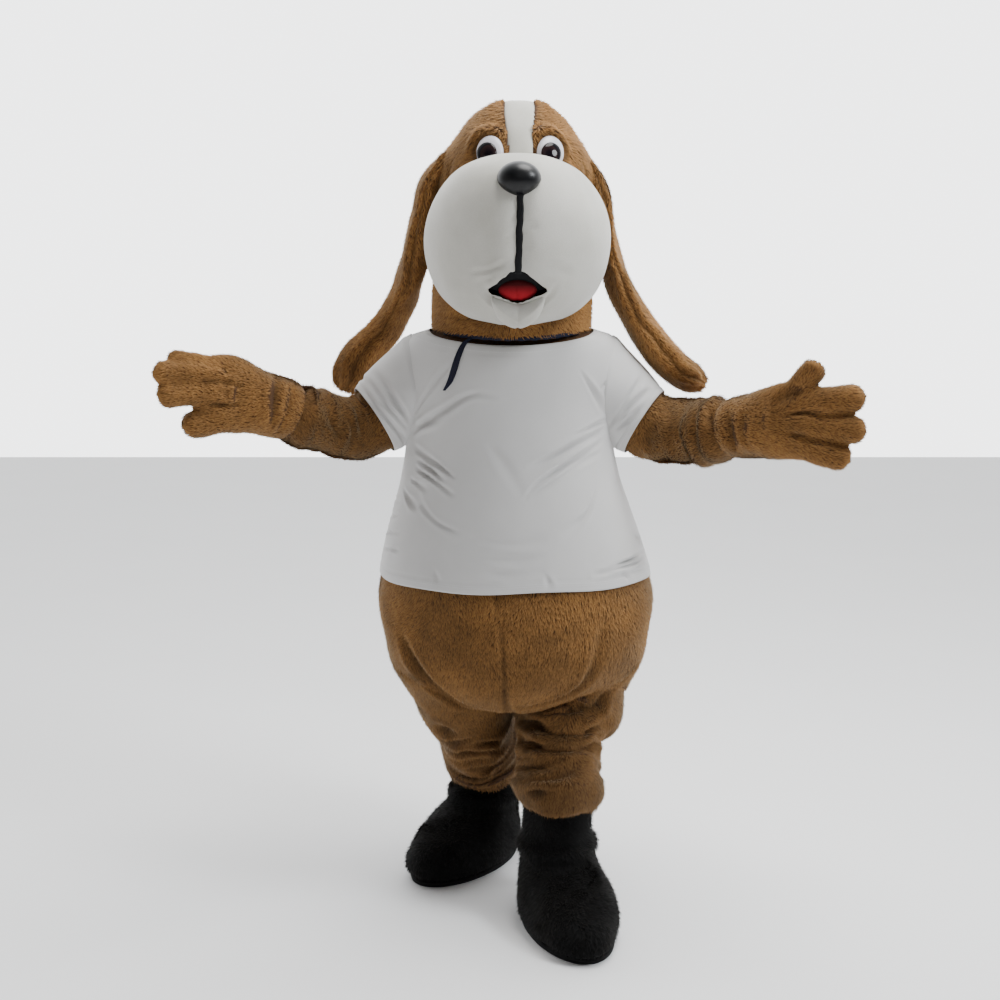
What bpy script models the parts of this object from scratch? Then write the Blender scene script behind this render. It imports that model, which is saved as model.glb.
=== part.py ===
"""Dog mascot costume: a hollow plush set in the open-armed walking pose that it is worn in.

The set is a body suit with sleeves and legs, a head with a stuffed muzzle and hanging ears,
a white T-shirt, two gloves and two boots. Metres, +Z up; the dog faces -Y, its left is +X.
Heights in the tables are above the floor. The origin is between the wearer's shoulders.
"""

import math
from collections import namedtuple

import bmesh
import bpy
from mathutils import Matrix, Vector

# Driving dimensions
HOLD_HEIGHT = 1.330
SEAM = 0.0003
FUR_WALL = 0.010
FOAM_WALL = 0.014
SHIRT_WALL = 0.002
SHIRT_EASE = 0.0025
GLOVE_WALL = 0.008
SOLE = 0.012
SHAFT_FOOT = 0.200
HEM_HEIGHT = 0.785
NECKLINE_SIDE = 1.361
NECKLINE_FRONT = 1.331
NECKLINE_BACK = 1.347
SKIRT_RISE = 0.016

# Ring counts and columns round each form
BODY_COLUMNS = 24
LEG_COLUMNS = 14
CUFF_RINGS = 4
ARM_COLUMNS = 14
HEAD_COLUMNS = 22
MUZZLE_COLUMNS = 22
BOOT_COLUMNS = 14
NECK_LEVELS = 3

Ring = namedtuple("Ring", "height across_centre depth_centre half_width front back")
Station = namedtuple("Station", "x y z across_x across_y")
ArmStation = namedtuple("ArmStation", "x y z sleeve glove_up glove_side")
EarStation = namedtuple("EarStation", "x y z thick broad")
Roll = namedtuple("Roll", "share width height toward")
Digit = namedtuple("Digit", "name root tip radius")
Foot = namedtuple("Foot", "x y turn lean")
TapeRow = namedtuple("TapeRow", "height across half_width")

TORSO = [
    Ring(0.452, 0.000, -0.020, 0.060, 0.060, 0.055),
    Ring(0.470, 0.000, -0.020, 0.145, 0.145, 0.120),
    Ring(0.505, 0.000, -0.020, 0.214, 0.208, 0.162),
    Ring(0.562, 0.002, -0.017, 0.277, 0.256, 0.198),
    Ring(0.630, 0.003, -0.014, 0.318, 0.283, 0.219),
    Ring(0.715, 0.003, -0.012, 0.331, 0.290, 0.230),
    Ring(0.785, 0.001, -0.010, 0.323, 0.285, 0.228),
    Ring(0.860, -0.002, -0.008, 0.304, 0.271, 0.220),
    Ring(0.940, -0.006, -0.006, 0.280, 0.253, 0.211),
    Ring(1.020, -0.010, -0.004, 0.256, 0.235, 0.203),
    Ring(1.110, -0.012, -0.002, 0.240, 0.217, 0.197),
    Ring(1.190, -0.013, 0.000, 0.244, 0.205, 0.192),
    Ring(1.265, -0.013, 0.000, 0.250, 0.193, 0.187),
    Ring(1.318, -0.012, 0.000, 0.242, 0.180, 0.178),
    Ring(1.346, -0.010, 0.000, 0.226, 0.163, 0.166),
    Ring(1.358, -0.008, 0.000, 0.1978, 0.152, 0.155),
    Ring(1.369, -0.008, 0.000, 0.166, 0.142, 0.148),
    Ring(1.395, -0.008, 0.000, 0.154, 0.136, 0.142),
]

HEAD = [
    Ring(1.355, -0.008, 0.000, 0.190, 0.186, 0.190),
    Ring(1.420, -0.007, 0.000, 0.190, 0.187, 0.193),
    Ring(1.520, -0.004, 0.000, 0.188, 0.188, 0.199),
    Ring(1.620, 0.001, 0.000, 0.184, 0.186, 0.202),
    Ring(1.700, 0.003, 0.000, 0.177, 0.180, 0.199),
    Ring(1.755, 0.003, 0.000, 0.165, 0.168, 0.190),
    Ring(1.800, 0.003, 0.000, 0.146, 0.146, 0.170),
    Ring(1.838, 0.003, 0.000, 0.118, 0.114, 0.136),
    Ring(1.864, 0.003, 0.000, 0.086, 0.080, 0.096),
    Ring(1.877, 0.003, 0.000, 0.054, 0.050, 0.060),
    Ring(1.882, 0.003, 0.000, 0.020, 0.018, 0.022),
]

MUZZLE = [
    Ring(1.378, 0.002, -0.160, 0.040, 0.070, 0.050),
    Ring(1.394, 0.002, -0.160, 0.106, 0.154, 0.076),
    Ring(1.432, 0.002, -0.160, 0.160, 0.210, 0.090),
    Ring(1.475, 0.003, -0.160, 0.188, 0.238, 0.095),
    Ring(1.525, 0.003, -0.160, 0.202, 0.254, 0.095),
    Ring(1.575, 0.003, -0.160, 0.204, 0.262, 0.095),
    Ring(1.620, 0.003, -0.160, 0.195, 0.262, 0.095),
    Ring(1.660, 0.003, -0.160, 0.177, 0.252, 0.090),
    Ring(1.695, 0.003, -0.160, 0.150, 0.230, 0.085),
    Ring(1.722, 0.003, -0.160, 0.116, 0.192, 0.075),
    Ring(1.739, 0.003, -0.160, 0.076, 0.140, 0.060),
    Ring(1.746, 0.003, -0.160, 0.036, 0.072, 0.040),
]

# Boot rings in the foot's own frame: front is towards the toe, the centre is the ankle
BOOT = [
    Ring(0.0123, 0.000, -0.078, 0.097, 0.182, 0.170),
    Ring(0.0320, 0.000, -0.078, 0.107, 0.194, 0.182),
    Ring(0.0680, 0.000, -0.074, 0.108, 0.192, 0.180),
    Ring(0.1020, 0.000, -0.060, 0.102, 0.170, 0.164),
    Ring(0.1300, 0.000, -0.034, 0.092, 0.130, 0.138),
    Ring(0.1460, 0.000, -0.014, 0.088, 0.104, 0.110),
    Ring(0.1620, 0.000, 0.000, 0.097, 0.101, 0.098),
    Ring(0.1780, 0.000, 0.000, 0.097, 0.100, 0.097),
    Ring(0.1980, 0.000, 0.000, 0.082, 0.083, 0.082),
    Ring(0.3000, 0.000, 0.000, 0.079, 0.079, 0.079),
]

# Ankle centre on the floor, the toe's turn from -Y towards +X in degrees, and the shaft top's lean
FEET = {
    "left": Foot(0.099, -0.180, 15.0, (0.003, 0.006)),
    "right": Foot(-0.074, 0.146, -38.0, (-0.008, -0.012)),
}

LEG_LEFT = [
    Station(0.150, -0.010, 0.660, 0.148, 0.180),
    Station(0.154, -0.012, 0.590, 0.149, 0.180),
    Station(0.141, -0.025, 0.520, 0.131, 0.168),
    Station(0.134, -0.052, 0.455, 0.124, 0.150),
    Station(0.110, -0.092, 0.405, 0.101, 0.132),
    Station(0.105, -0.132, 0.355, 0.097, 0.116),
    Station(0.104, -0.164, 0.315, 0.100, 0.112),
    Station(0.101, -0.177, 0.285, 0.104, 0.109),
    Station(0.100, -0.180, 0.262, 0.0925, 0.0925),
]

LEG_RIGHT = [
    Station(-0.148, -0.010, 0.660, 0.146, 0.180),
    Station(-0.148, -0.010, 0.590, 0.144, 0.180),
    Station(-0.135, 0.002, 0.520, 0.127, 0.162),
    Station(-0.121, 0.028, 0.450, 0.116, 0.142),
    Station(-0.103, 0.062, 0.385, 0.094, 0.124),
    Station(-0.091, 0.104, 0.325, 0.091, 0.115),
    Station(-0.081, 0.132, 0.275, 0.094, 0.108),
    Station(-0.076, 0.143, 0.235, 0.0965, 0.104),
    Station(-0.074, 0.146, 0.212, 0.0925, 0.0925),
]

# Cloth rolls on each leg: share of the path, half thickness, height, and the side they face
LEG_ROLLS = {
    "left": [
        Roll(0.520, 0.022, 0.016, 70.0),
        Roll(0.625, 0.017, 0.013, 20.0),
        Roll(0.715, 0.016, 0.013, -30.0),
        Roll(0.805, 0.015, 0.010, 30.0),
        Roll(0.905, 0.016, 0.012, 60.0),
    ],
    "right": [
        Roll(0.540, 0.020, 0.012, -50.0),
        Roll(0.640, 0.018, 0.013, 0.0),
        Roll(0.730, 0.016, 0.012, -60.0),
        Roll(0.815, 0.016, 0.012, 10.0),
        Roll(0.905, 0.015, 0.010, -40.0),
    ],
}

# Each arm runs on one path through the sleeve, the wrist and the palm
ARM_LEFT = [
    ArmStation(0.160, 0.000, 1.262, 0.100, 0.060, 0.060),
    ArmStation(0.223, -0.002, 1.211, 0.101, 0.060, 0.060),
    ArmStation(0.309, -0.020, 1.146, 0.082, 0.060, 0.060),
    ArmStation(0.352, -0.045, 1.134, 0.078, 0.068, 0.066),
    ArmStation(0.405, -0.080, 1.132, 0.076, 0.074, 0.072),
    ArmStation(0.460, -0.136, 1.139, 0.077, 0.076, 0.074),
    ArmStation(0.482, -0.159, 1.146, 0.0640, 0.0715, 0.071),
    ArmStation(0.501, -0.180, 1.152, 0.0640, 0.0735, 0.072),
    ArmStation(0.537, -0.220, 1.163, 0.054, 0.077, 0.064),
    ArmStation(0.583, -0.255, 1.173, 0.050, 0.087, 0.048),
    ArmStation(0.618, -0.278, 1.178, 0.050, 0.088, 0.042),
    ArmStation(0.648, -0.292, 1.178, 0.050, 0.074, 0.034),
    ArmStation(0.666, -0.300, 1.177, 0.050, 0.036, 0.018),
]

ARM_RIGHT = [
    ArmStation(-0.180, 0.000, 1.262, 0.100, 0.060, 0.060),
    ArmStation(-0.253, -0.002, 1.211, 0.101, 0.060, 0.060),
    ArmStation(-0.337, -0.020, 1.149, 0.082, 0.060, 0.060),
    ArmStation(-0.386, -0.045, 1.137, 0.076, 0.068, 0.066),
    ArmStation(-0.428, -0.080, 1.151, 0.073, 0.074, 0.072),
    ArmStation(-0.488, -0.128, 1.172, 0.074, 0.077, 0.074),
    ArmStation(-0.510, -0.147, 1.184, 0.0650, 0.0725, 0.072),
    ArmStation(-0.530, -0.165, 1.194, 0.0650, 0.0735, 0.072),
    ArmStation(-0.570, -0.200, 1.211, 0.054, 0.075, 0.064),
    ArmStation(-0.612, -0.232, 1.226, 0.050, 0.086, 0.048),
    ArmStation(-0.648, -0.256, 1.238, 0.050, 0.087, 0.042),
    ArmStation(-0.678, -0.272, 1.242, 0.050, 0.070, 0.034),
    ArmStation(-0.696, -0.280, 1.243, 0.050, 0.036, 0.018),
]

ARM_ROLLS = {
    "left": [
        Roll(0.360, 0.014, 0.006, 150.0),
        Roll(0.440, 0.014, 0.007, 170.0),
        Roll(0.520, 0.013, 0.009, 160.0),
        Roll(0.595, 0.012, 0.009, 20.0),
    ],
    "right": [
        Roll(0.350, 0.015, 0.006, 160.0),
        Roll(0.430, 0.015, 0.008, 190.0),
        Roll(0.510, 0.013, 0.009, 20.0),
        Roll(0.590, 0.012, 0.009, 0.0),
    ],
}

# Share of the arm's path where the T-shirt sleeve, the fur sleeve and the glove cuff end
SHIRT_CUFF = 0.285
SLEEVE_END = 0.720
GLOVE_CUFF = 0.655
GLOVE_END = 1.0

DIGITS = {
    "left": [
        Digit("thumb", (0.588, -0.262, 1.226), (0.646, -0.292, 1.304), 0.0300),
        Digit("index", (0.600, -0.275, 1.210), (0.735, -0.332, 1.236), 0.0335),
        Digit("middle", (0.606, -0.280, 1.174), (0.740, -0.338, 1.160), 0.0325),
        Digit("ring", (0.590, -0.268, 1.134), (0.712, -0.330, 1.096), 0.0330),
    ],
    "right": [
        Digit("thumb", (-0.600, -0.236, 1.180), (-0.720, -0.292, 1.166), 0.0325),
        Digit("index", (-0.632, -0.262, 1.238), (-0.760, -0.322, 1.236), 0.0310),
        Digit("middle", (-0.636, -0.262, 1.275), (-0.768, -0.322, 1.286), 0.0285),
        Digit("ring", (-0.630, -0.252, 1.293), (-0.744, -0.292, 1.314), 0.0220),
    ],
}

EAR_LEFT = [
    EarStation(0.168, 0.015, 1.756, 0.016, 0.055),
    EarStation(0.190, 0.020, 1.702, 0.020, 0.064),
    EarStation(0.208, 0.020, 1.627, 0.022, 0.070),
    EarStation(0.222, 0.020, 1.547, 0.026, 0.074),
    EarStation(0.246, 0.020, 1.467, 0.033, 0.076),
    EarStation(0.285, 0.020, 1.392, 0.038, 0.078),
    EarStation(0.327, 0.020, 1.331, 0.041, 0.078),
    EarStation(0.375, 0.020, 1.282, 0.042, 0.072),
    EarStation(0.420, 0.020, 1.252, 0.038, 0.060),
    EarStation(0.447, 0.020, 1.236, 0.020, 0.030),
]

EAR_RIGHT = [
    EarStation(-0.158, 0.014, 1.776, 0.012, 0.040),
    EarStation(-0.173, 0.016, 1.756, 0.020, 0.056),
    EarStation(-0.197, 0.022, 1.702, 0.025, 0.062),
    EarStation(-0.217, 0.032, 1.628, 0.030, 0.066),
    EarStation(-0.235, 0.055, 1.548, 0.034, 0.066),
    EarStation(-0.258, 0.095, 1.467, 0.036, 0.062),
    EarStation(-0.292, 0.140, 1.402, 0.038, 0.052),
    EarStation(-0.337, 0.166, 1.343, 0.047, 0.042),
    EarStation(-0.380, 0.176, 1.288, 0.056, 0.038),
    EarStation(-0.408, 0.178, 1.242, 0.050, 0.034),
    EarStation(-0.422, 0.178, 1.210, 0.028, 0.018),
]

# Face, in metres across from the centre line and above the floor
BLAZE_CENTRE = 0.009
BLAZE_HALF_WIDTH = 0.036
BLAZE_BACK = 0.085
BLAZE_FOOT = 1.640
EYE_SPREAD = 0.067
EYE_HEIGHT = 1.757
EYE_HALF = (0.029, 0.036)
IRIS_HALF = (0.0205, 0.0225)
NOSE_CENTRE = (0.003, -0.398, 1.678)
NOSE_HALF = (0.0460, 0.0380, 0.0350)
NOSE_TILT = 24.0
MOUTH_CENTRE = (0.001, 1.456)
MOUTH_EDGE = [
    (0.000, 0.038),
    (0.014, 0.036),
    (0.036, 0.018),
    (0.061, -0.004),
    (0.034, -0.015),
    (0.014, -0.024),
]
MOUTH_FOOT = (0.000, -0.028)
CHIN_CENTRE = (0.002, 1.408)
CHIN_EDGE = [
    (0.000, 0.017),
    (0.020, 0.022),
    (0.042, 0.031),
    (0.056, 0.036),
    (0.048, 0.004),
    (0.028, -0.016),
]
CHIN_FOOT = (0.000, -0.024)
LINE_HALF_WIDTH = 0.0075
LINE_TOP = 1.644
LINE_FOOT = 1.497

# The tape drawn through the head's neck edge, and the end of it that hangs out in front
TAPE_WIDTH = 0.009
TAPE_THICK = 0.002
TAPE_ARC = 58.0
TAPE_END = [
    TapeRow(1.344, -0.112, 0.0040),
    TapeRow(1.318, -0.122, 0.0060),
    TapeRow(1.285, -0.134, 0.0070),
    TapeRow(1.255, -0.146, 0.0060),
    TapeRow(1.233, -0.156, 0.0020),
]

PARTS = bpy.data.collections.new("dog_mascot_costume")
CUTTERS = bpy.data.collections.new("cutters")


# Interpolation and surfaces
def between(rows, value):
    """The row at this value of the first column, smoothly between the rows of the table."""
    keys = [row[0] for row in rows]
    value = min(max(value, keys[0]), keys[-1])
    at = max(i for i in range(len(keys) - 1) if keys[i] <= value)
    share = (value - keys[at]) / (keys[at + 1] - keys[at])
    result = []
    for column in range(len(rows[0])):
        low, high = rows[at][column], rows[at + 1][column]
        span = keys[at + 1] - keys[at]
        slope_low = slope_at(rows, keys, at, column) * span
        slope_high = slope_at(rows, keys, at + 1, column) * span
        square, cube = share**2, share**3
        result.append(
            low * (2 * cube - 3 * square + 1)
            + slope_low * (cube - 2 * square + share)
            + high * (3 * square - 2 * cube)
            + slope_high * (cube - square)
        )
    return result


def slope_at(rows, keys, at, column):
    """The table's slope at one row, from the rows on either side."""
    before, after = max(at - 1, 0), min(at + 1, len(rows) - 1)
    return (rows[after][column] - rows[before][column]) / (keys[after] - keys[before])


def body_surface(rows):
    """A surface round a vertical axis: angle 0 faces -Y and 90 degrees faces +X."""

    def centre_line(height):
        return Ring(*between(rows, height))

    def point(angle, height, offset):
        ring = centre_line(height)
        depth = ring.front if math.cos(angle) > 0 else ring.back
        across, along = math.sin(angle), -math.cos(angle)
        x = ring.across_centre + ring.half_width * across
        place = Vector((x, ring.depth_centre + depth * along, height))
        if offset == 0:
            return place
        step = 0.004
        low = centre_line(max(height - step, rows[0].height))
        high = centre_line(min(height + step, rows[-1].height))
        reach_low = low.half_width * across**2 + (low.front if along < 0 else low.back) * along**2
        reach_high = high.half_width * across**2 + (high.front if along < 0 else high.back) * along**2
        slope = (reach_high - reach_low) / (high.height - low.height)
        outward = Vector((across / ring.half_width, along / depth, 0.0)).normalized()
        normal = (outward - Vector((0.0, 0.0, slope))).normalized()
        return place + normal * offset

    return point


def front_surface(rows, base=0.0):
    """The front half of a body surface by its distance across from the axis and its height."""
    surface = body_surface(rows)

    def point(across, height, offset):
        ring = Ring(*between(rows, height))
        sine = max(-0.99, min(0.99, (across - ring.across_centre) / ring.half_width))
        return surface(math.asin(sine), height, base + offset)

    return point


def path_table(stations):
    """Rows of a limb with the share of its length in front."""
    lengths = [0.0]
    for before, after in zip(stations, stations[1:]):
        lengths.append(lengths[-1] + (Vector(after[:3]) - Vector(before[:3])).length)
    return [(length / lengths[-1],) + tuple(row) for length, row in zip(lengths, stations)], lengths[-1]


def limb_surface(stations, reference, sizes, rolls=()):
    """A surface round a path. Angle 0 faces the reference; sizes name the two half-size columns."""
    table, length = path_table(stations)
    columns = [stations[0]._fields.index(size) + 1 for size in sizes]

    def point(angle, share, offset):
        row = between(table, share)
        step = 0.01
        tangent = Vector(between(table, share + step)[1:4]) - Vector(between(table, share - step)[1:4])
        tangent.normalize()
        side = tangent.cross(Vector(reference)).normalized()
        upward = side.cross(tangent)
        for roll in rolls:
            away = (share - roll.share) * length / roll.width
            facing = 0.5 + 0.5 * math.cos(angle - math.radians(roll.toward))
            offset += roll.height * math.exp(-(away**2)) * (0.35 + 0.65 * facing)
        half_up, half_side = (row[column] for column in columns)
        upright = upward * (half_up + offset) * math.cos(angle)
        sideways = side * (half_side + offset) * math.sin(angle)
        return Vector(row[1:4]) + upright + sideways

    return point


def even(first, last, count):
    """Evenly spaced values, both ends included."""
    return [first + (last - first) * i / (count - 1) for i in range(count)]


def roll_rings(rolls, start, plain, end):
    """Ring shares of a limb: a few plain ones, then one on each roll's crest and in each hollow."""
    crests = [roll.share for roll in rolls]
    hollows = [(low + high) / 2 for low, high in zip([start] + crests, crests)]
    folded = [share for pair in zip(hollows, crests) for share in pair]
    return even(0.0, start, plain) + folded + end


def full_turn(columns):
    return [math.tau * i / columns for i in range(columns)]


# Mesh builders
def add_object(name, mesh_points, faces, shade=None, cutter=False):
    """One closed mesh object, hung on the costume's frame, with its faces turned outward."""
    build = bmesh.new()
    points = [build.verts.new(point) for point in mesh_points]
    for face in faces:
        build.faces.new([points[i] for i in face])
    bmesh.ops.recalc_face_normals(build, faces=build.faces)
    bmesh.ops.triangulate(build, faces=build.faces)
    mesh = bpy.data.meshes.new(name)
    build.to_mesh(mesh)
    build.free()
    mesh.shade_smooth()
    made = bpy.data.objects.new(name, mesh)
    made.parent = FRAME
    if cutter:
        CUTTERS.objects.link(made)
        made.hide_render = True
        made.display_type = "WIRE"
    else:
        PARTS.objects.link(made)
        mesh.materials.append(shade)
    return made


def strip_faces(first, second, wraps):
    """Faces between two rows of point numbers."""
    count = len(first)
    last = count if wraps else count - 1
    return [(first[i], first[(i + 1) % count], second[(i + 1) % count], second[i]) for i in range(last)]


def wall(name, surface, columns, rings, thickness, shade, wraps):
    """A cloth wall: the outer surface, an inner one a thickness behind it, and its cut edges."""
    offsets = (0.0, -thickness)
    points = [surface(column, ring, offset) for offset in offsets for ring in rings for column in columns]
    width, height = len(columns), len(rings)
    number = []
    for layer in (0, 1):
        starts = [(layer * height + i) * width for i in range(height)]
        number.append([list(range(start, start + width)) for start in starts])
    faces = []
    for layer in (0, 1):
        for i in range(height - 1):
            faces += strip_faces(number[layer][i], number[layer][i + 1], wraps)
    for i in (0, height - 1):
        faces += strip_faces(number[0][i], number[1][i], wraps)
    if not wraps:
        for j in (0, width - 1):
            faces += strip_faces([row[j] for row in number[0]], [row[j] for row in number[1]], False)
    return add_object(name, points, faces, shade)


def volume(name, surface, columns, rings, offset=0.0, shade=None):
    """A filled form round its axis. With no material it is a cutter."""
    points = [surface(column, ring, offset) for ring in rings for column in columns]
    width = len(columns)
    rows = [list(range(i * width, (i + 1) * width)) for i in range(len(rings))]
    faces = [face for first, second in zip(rows, rows[1:]) for face in strip_faces(first, second, True)]
    for row in (rows[0], rows[-1]):
        points.append(sum((points[i] for i in row), Vector()) / width)
        faces += [(row[i], row[(i + 1) % width], len(points) - 1) for i in range(width)]
    return add_object(name, points, faces, shade, cutter=shade is None)


def capped_wall(name, surface, columns, rings, thickness, shade):
    """A wall that is open at its first ring and closed over its last one."""
    offsets = (0.0, -thickness)
    points = [surface(column, ring, offset) for offset in offsets for ring in rings for column in columns]
    width, height = len(columns), len(rings)
    faces = []
    for layer in (0, 1):
        rows = [[(layer * height + i) * width + j for j in range(width)] for i in range(height)]
        for first, second in zip(rows, rows[1:]):
            faces += strip_faces(first, second, True)
        points.append(sum((points[i] for i in rows[-1]), Vector()) / width)
        faces += [(rows[-1][i], rows[-1][(i + 1) % width], len(points) - 1) for i in range(width)]
    faces += strip_faces(list(range(width)), list(range(height * width, height * width + width)), True)
    return add_object(name, points, faces, shade)


def patch(name, surface, centre, edge, low, high, shade=None, rings=2):
    """A closed piece that lies on a surface inside an outline; low and high give its two faces' offsets."""
    spokes = len(edge)
    shares = even(0.0, 1.0, rings + 1)[1:]
    points = []
    for offset in (low, high):
        points.append(surface(centre[0], centre[1], offset(0.0)))
        for share in shares:
            for x, z in edge:
                points.append(surface(centre[0] + share * x, centre[1] + share * z, offset(share)))
    faces = []
    for start in (0, 1 + rings * spokes):
        rows = [[start + 1 + i * spokes + j for j in range(spokes)] for i in range(rings)]
        faces += [(start, rows[0][j], rows[0][(j + 1) % spokes]) for j in range(spokes)]
        for first, second in zip(rows, rows[1:]):
            faces += strip_faces(first, second, True)
    rim = [1 + (rings - 1) * spokes + j for j in range(spokes)]
    faces += strip_faces(rim, [1 + rings * spokes + i for i in rim], True)
    return add_object(name, points, faces, shade, cutter=shade is None)


def oval(half_across, half_height, spokes=14):
    return [(half_across * math.sin(turn), half_height * math.cos(turn)) for turn in full_turn(spokes)]


def mirrored(edge, foot):
    """An outline from its right side: down the right, round the foot and up the left."""
    return edge + [foot] + [(-x, z) for x, z in reversed(edge[1:])]


def box(name, low, high):
    """A box cutter between two corners."""
    size = Vector(high) - Vector(low)
    middle = (Vector(high) + Vector(low)) / 2
    build = bmesh.new()
    place = Matrix.Translation(middle) @ Matrix.Diagonal((*size, 1.0))
    bmesh.ops.create_cube(build, size=1.0, matrix=place)
    mesh = bpy.data.meshes.new(name)
    build.to_mesh(mesh)
    build.free()
    made = bpy.data.objects.new(name, mesh)
    made.parent = FRAME
    made.hide_render = True
    made.display_type = "WIRE"
    CUTTERS.objects.link(made)
    return made


def combine(target, operation, *others):
    for other in others:
        step = target.modifiers.new(operation.lower(), "BOOLEAN")
        step.operation = operation
        step.object = other
        step.solver = "EXACT"


def material(name, colour, roughness):
    made = bpy.data.materials.new(name)
    made.use_nodes = True
    shader = made.node_tree.nodes["Principled BSDF"]
    shader.inputs["Base Color"].default_value = (*colour, 1.0)
    shader.inputs["Roughness"].default_value = roughness
    shader.inputs["Metallic"].default_value = 0.0
    return made


# Body suit
def seam_columns(first, last, count):
    """Columns of a panel between two seams, drawn in by half the seam's gap at each."""
    inset = 0.0006
    return even(math.radians(first) + inset, math.radians(last) - inset, count)


def build_suit(fur):
    torso = body_surface(TORSO)
    levels = [ring.height for ring in TORSO]
    quarter = BODY_COLUMNS // 4 + 1
    panels = [
        wall("suit_front_left", torso, seam_columns(0, 90, quarter), levels, FUR_WALL, fur, False),
        wall("suit_front_right", torso, seam_columns(-90, 0, quarter), levels, FUR_WALL, fur, False),
        wall("suit_back_left", torso, seam_columns(90, 180, quarter), levels, FUR_WALL, fur, False),
        wall("suit_back_right", torso, seam_columns(180, 270, quarter), levels, FUR_WALL, fur, False),
    ]
    torso_clear = volume("torso_clear", torso, full_turn(BODY_COLUMNS), levels, SEAM)
    for side, stations in (("left", LEG_LEFT), ("right", LEG_RIGHT)):
        leg = limb_surface(stations, (0, -1, 0), ("across_y", "across_x"), LEG_ROLLS[side])
        rings = roll_rings(LEG_ROLLS[side], 0.42, 3, [0.955, 1.0])
        tube = wall("suit_leg_" + side, leg, full_turn(LEG_COLUMNS), rings, FUR_WALL, fur, True)
        heights = [ring.height for ring in BOOT]
        boot = foot_surface(side, BOOT)
        boot_clear = volume("boot_clear_" + side, boot, full_turn(BOOT_COLUMNS), heights, SEAM)
        combine(tube, "DIFFERENCE", torso_clear, boot_clear)
        hollow = volume("leg_hollow_" + side, leg, full_turn(LEG_COLUMNS), rings, -FUR_WALL)
        combine(panels[0 if side == "left" else 1], "DIFFERENCE", hollow)
        combine(panels[2 if side == "left" else 3], "DIFFERENCE", hollow)
    for side, stations in (("left", ARM_LEFT), ("right", ARM_RIGHT)):
        arm = limb_surface(stations, (0, 0, 1), ("sleeve", "sleeve"), ARM_ROLLS[side])
        rings = roll_rings(ARM_ROLLS[side], SHIRT_CUFF, CUFF_RINGS, [0.630, 0.660, SLEEVE_END])
        tube = wall("suit_sleeve_" + side, arm, full_turn(ARM_COLUMNS), rings, FUR_WALL, fur, True)
        combine(tube, "DIFFERENCE", torso_clear)
        hollow = volume("arm_hollow_" + side, arm, full_turn(ARM_COLUMNS), rings[:CUFF_RINGS], -FUR_WALL)
        combine(panels[0 if side == "left" else 1], "DIFFERENCE", hollow)
        combine(panels[2 if side == "left" else 3], "DIFFERENCE", hollow)


# T-shirt
def neckline(angle):
    """Height of the T-shirt's neck edge round the neck."""
    end = NECKLINE_FRONT if math.cos(angle) > 0 else NECKLINE_BACK
    return end + (NECKLINE_SIDE - end) * math.sin(angle) ** 2


def shirt_surface():
    """The T-shirt's outer face: over the suit with a little ease, and close to it at hem and neck."""
    torso = body_surface(TORSO)
    levels = [ring.height for ring in TORSO if HEM_HEIGHT <= ring.height < NECKLINE_FRONT]
    shoulder = len(levels) - 1
    count = len(levels) + NECK_LEVELS

    def point(angle, level, offset):
        share = level / (count - 1)
        height = levels[min(level, shoulder)]
        if level > shoulder:
            height += (neckline(angle) - height) * (level - shoulder) / NECK_LEVELS
        ease = SEAM + SHIRT_EASE * math.sin(math.pi * min(1.0, share * 4) / 2)
        return torso(angle, height, ease + SHIRT_WALL + offset)

    return point, count


def build_shirt(jersey):
    shirt, level_count = shirt_surface()
    levels = list(range(level_count))
    half = BODY_COLUMNS // 2 + 1
    front = wall("tshirt_front", shirt, seam_columns(-90, 90, half), levels, SHIRT_WALL, jersey, False)
    back = wall("tshirt_back", shirt, seam_columns(90, 270, half), levels, SHIRT_WALL, jersey, False)
    shirt_clear = volume("shirt_clear", shirt, full_turn(BODY_COLUMNS), levels, SEAM)
    for side, stations in (("left", ARM_LEFT), ("right", ARM_RIGHT)):
        arm = limb_surface(stations, (0, 0, 1), ("sleeve", "sleeve"), ARM_ROLLS[side])

        def sleeve(angle, share, offset, arm=arm):
            ease = SEAM + SHIRT_EASE * min(1.0, (SHIRT_CUFF - share) / 0.05)
            return arm(angle, share, ease + SHIRT_WALL + offset)

        rings = even(0.0, SHIRT_CUFF, CUFF_RINGS)
        name = "tshirt_sleeve_" + side
        tube = wall(name, sleeve, full_turn(ARM_COLUMNS), rings, SHIRT_WALL, jersey, True)
        combine(tube, "DIFFERENCE", shirt_clear)
        hollow = volume("sleeve_hollow_" + side, sleeve, full_turn(ARM_COLUMNS), rings, -SHIRT_WALL)
        combine(front, "DIFFERENCE", hollow)
        combine(back, "DIFFERENCE", hollow)


# Head
def head_wall(name, fur):
    """The whole foam-backed head wall, open at the neck, whose edge rises over the shoulders."""
    head = body_surface(HEAD)

    def skirted(angle, height, offset):
        if height == HEAD[0].height:
            height += SKIRT_RISE * math.sin(angle) ** 2
        return head(angle, height, offset)

    heights = [ring.height for ring in HEAD]
    return capped_wall(name, skirted, full_turn(HEAD_COLUMNS), heights, FOAM_WALL, fur)


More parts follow.
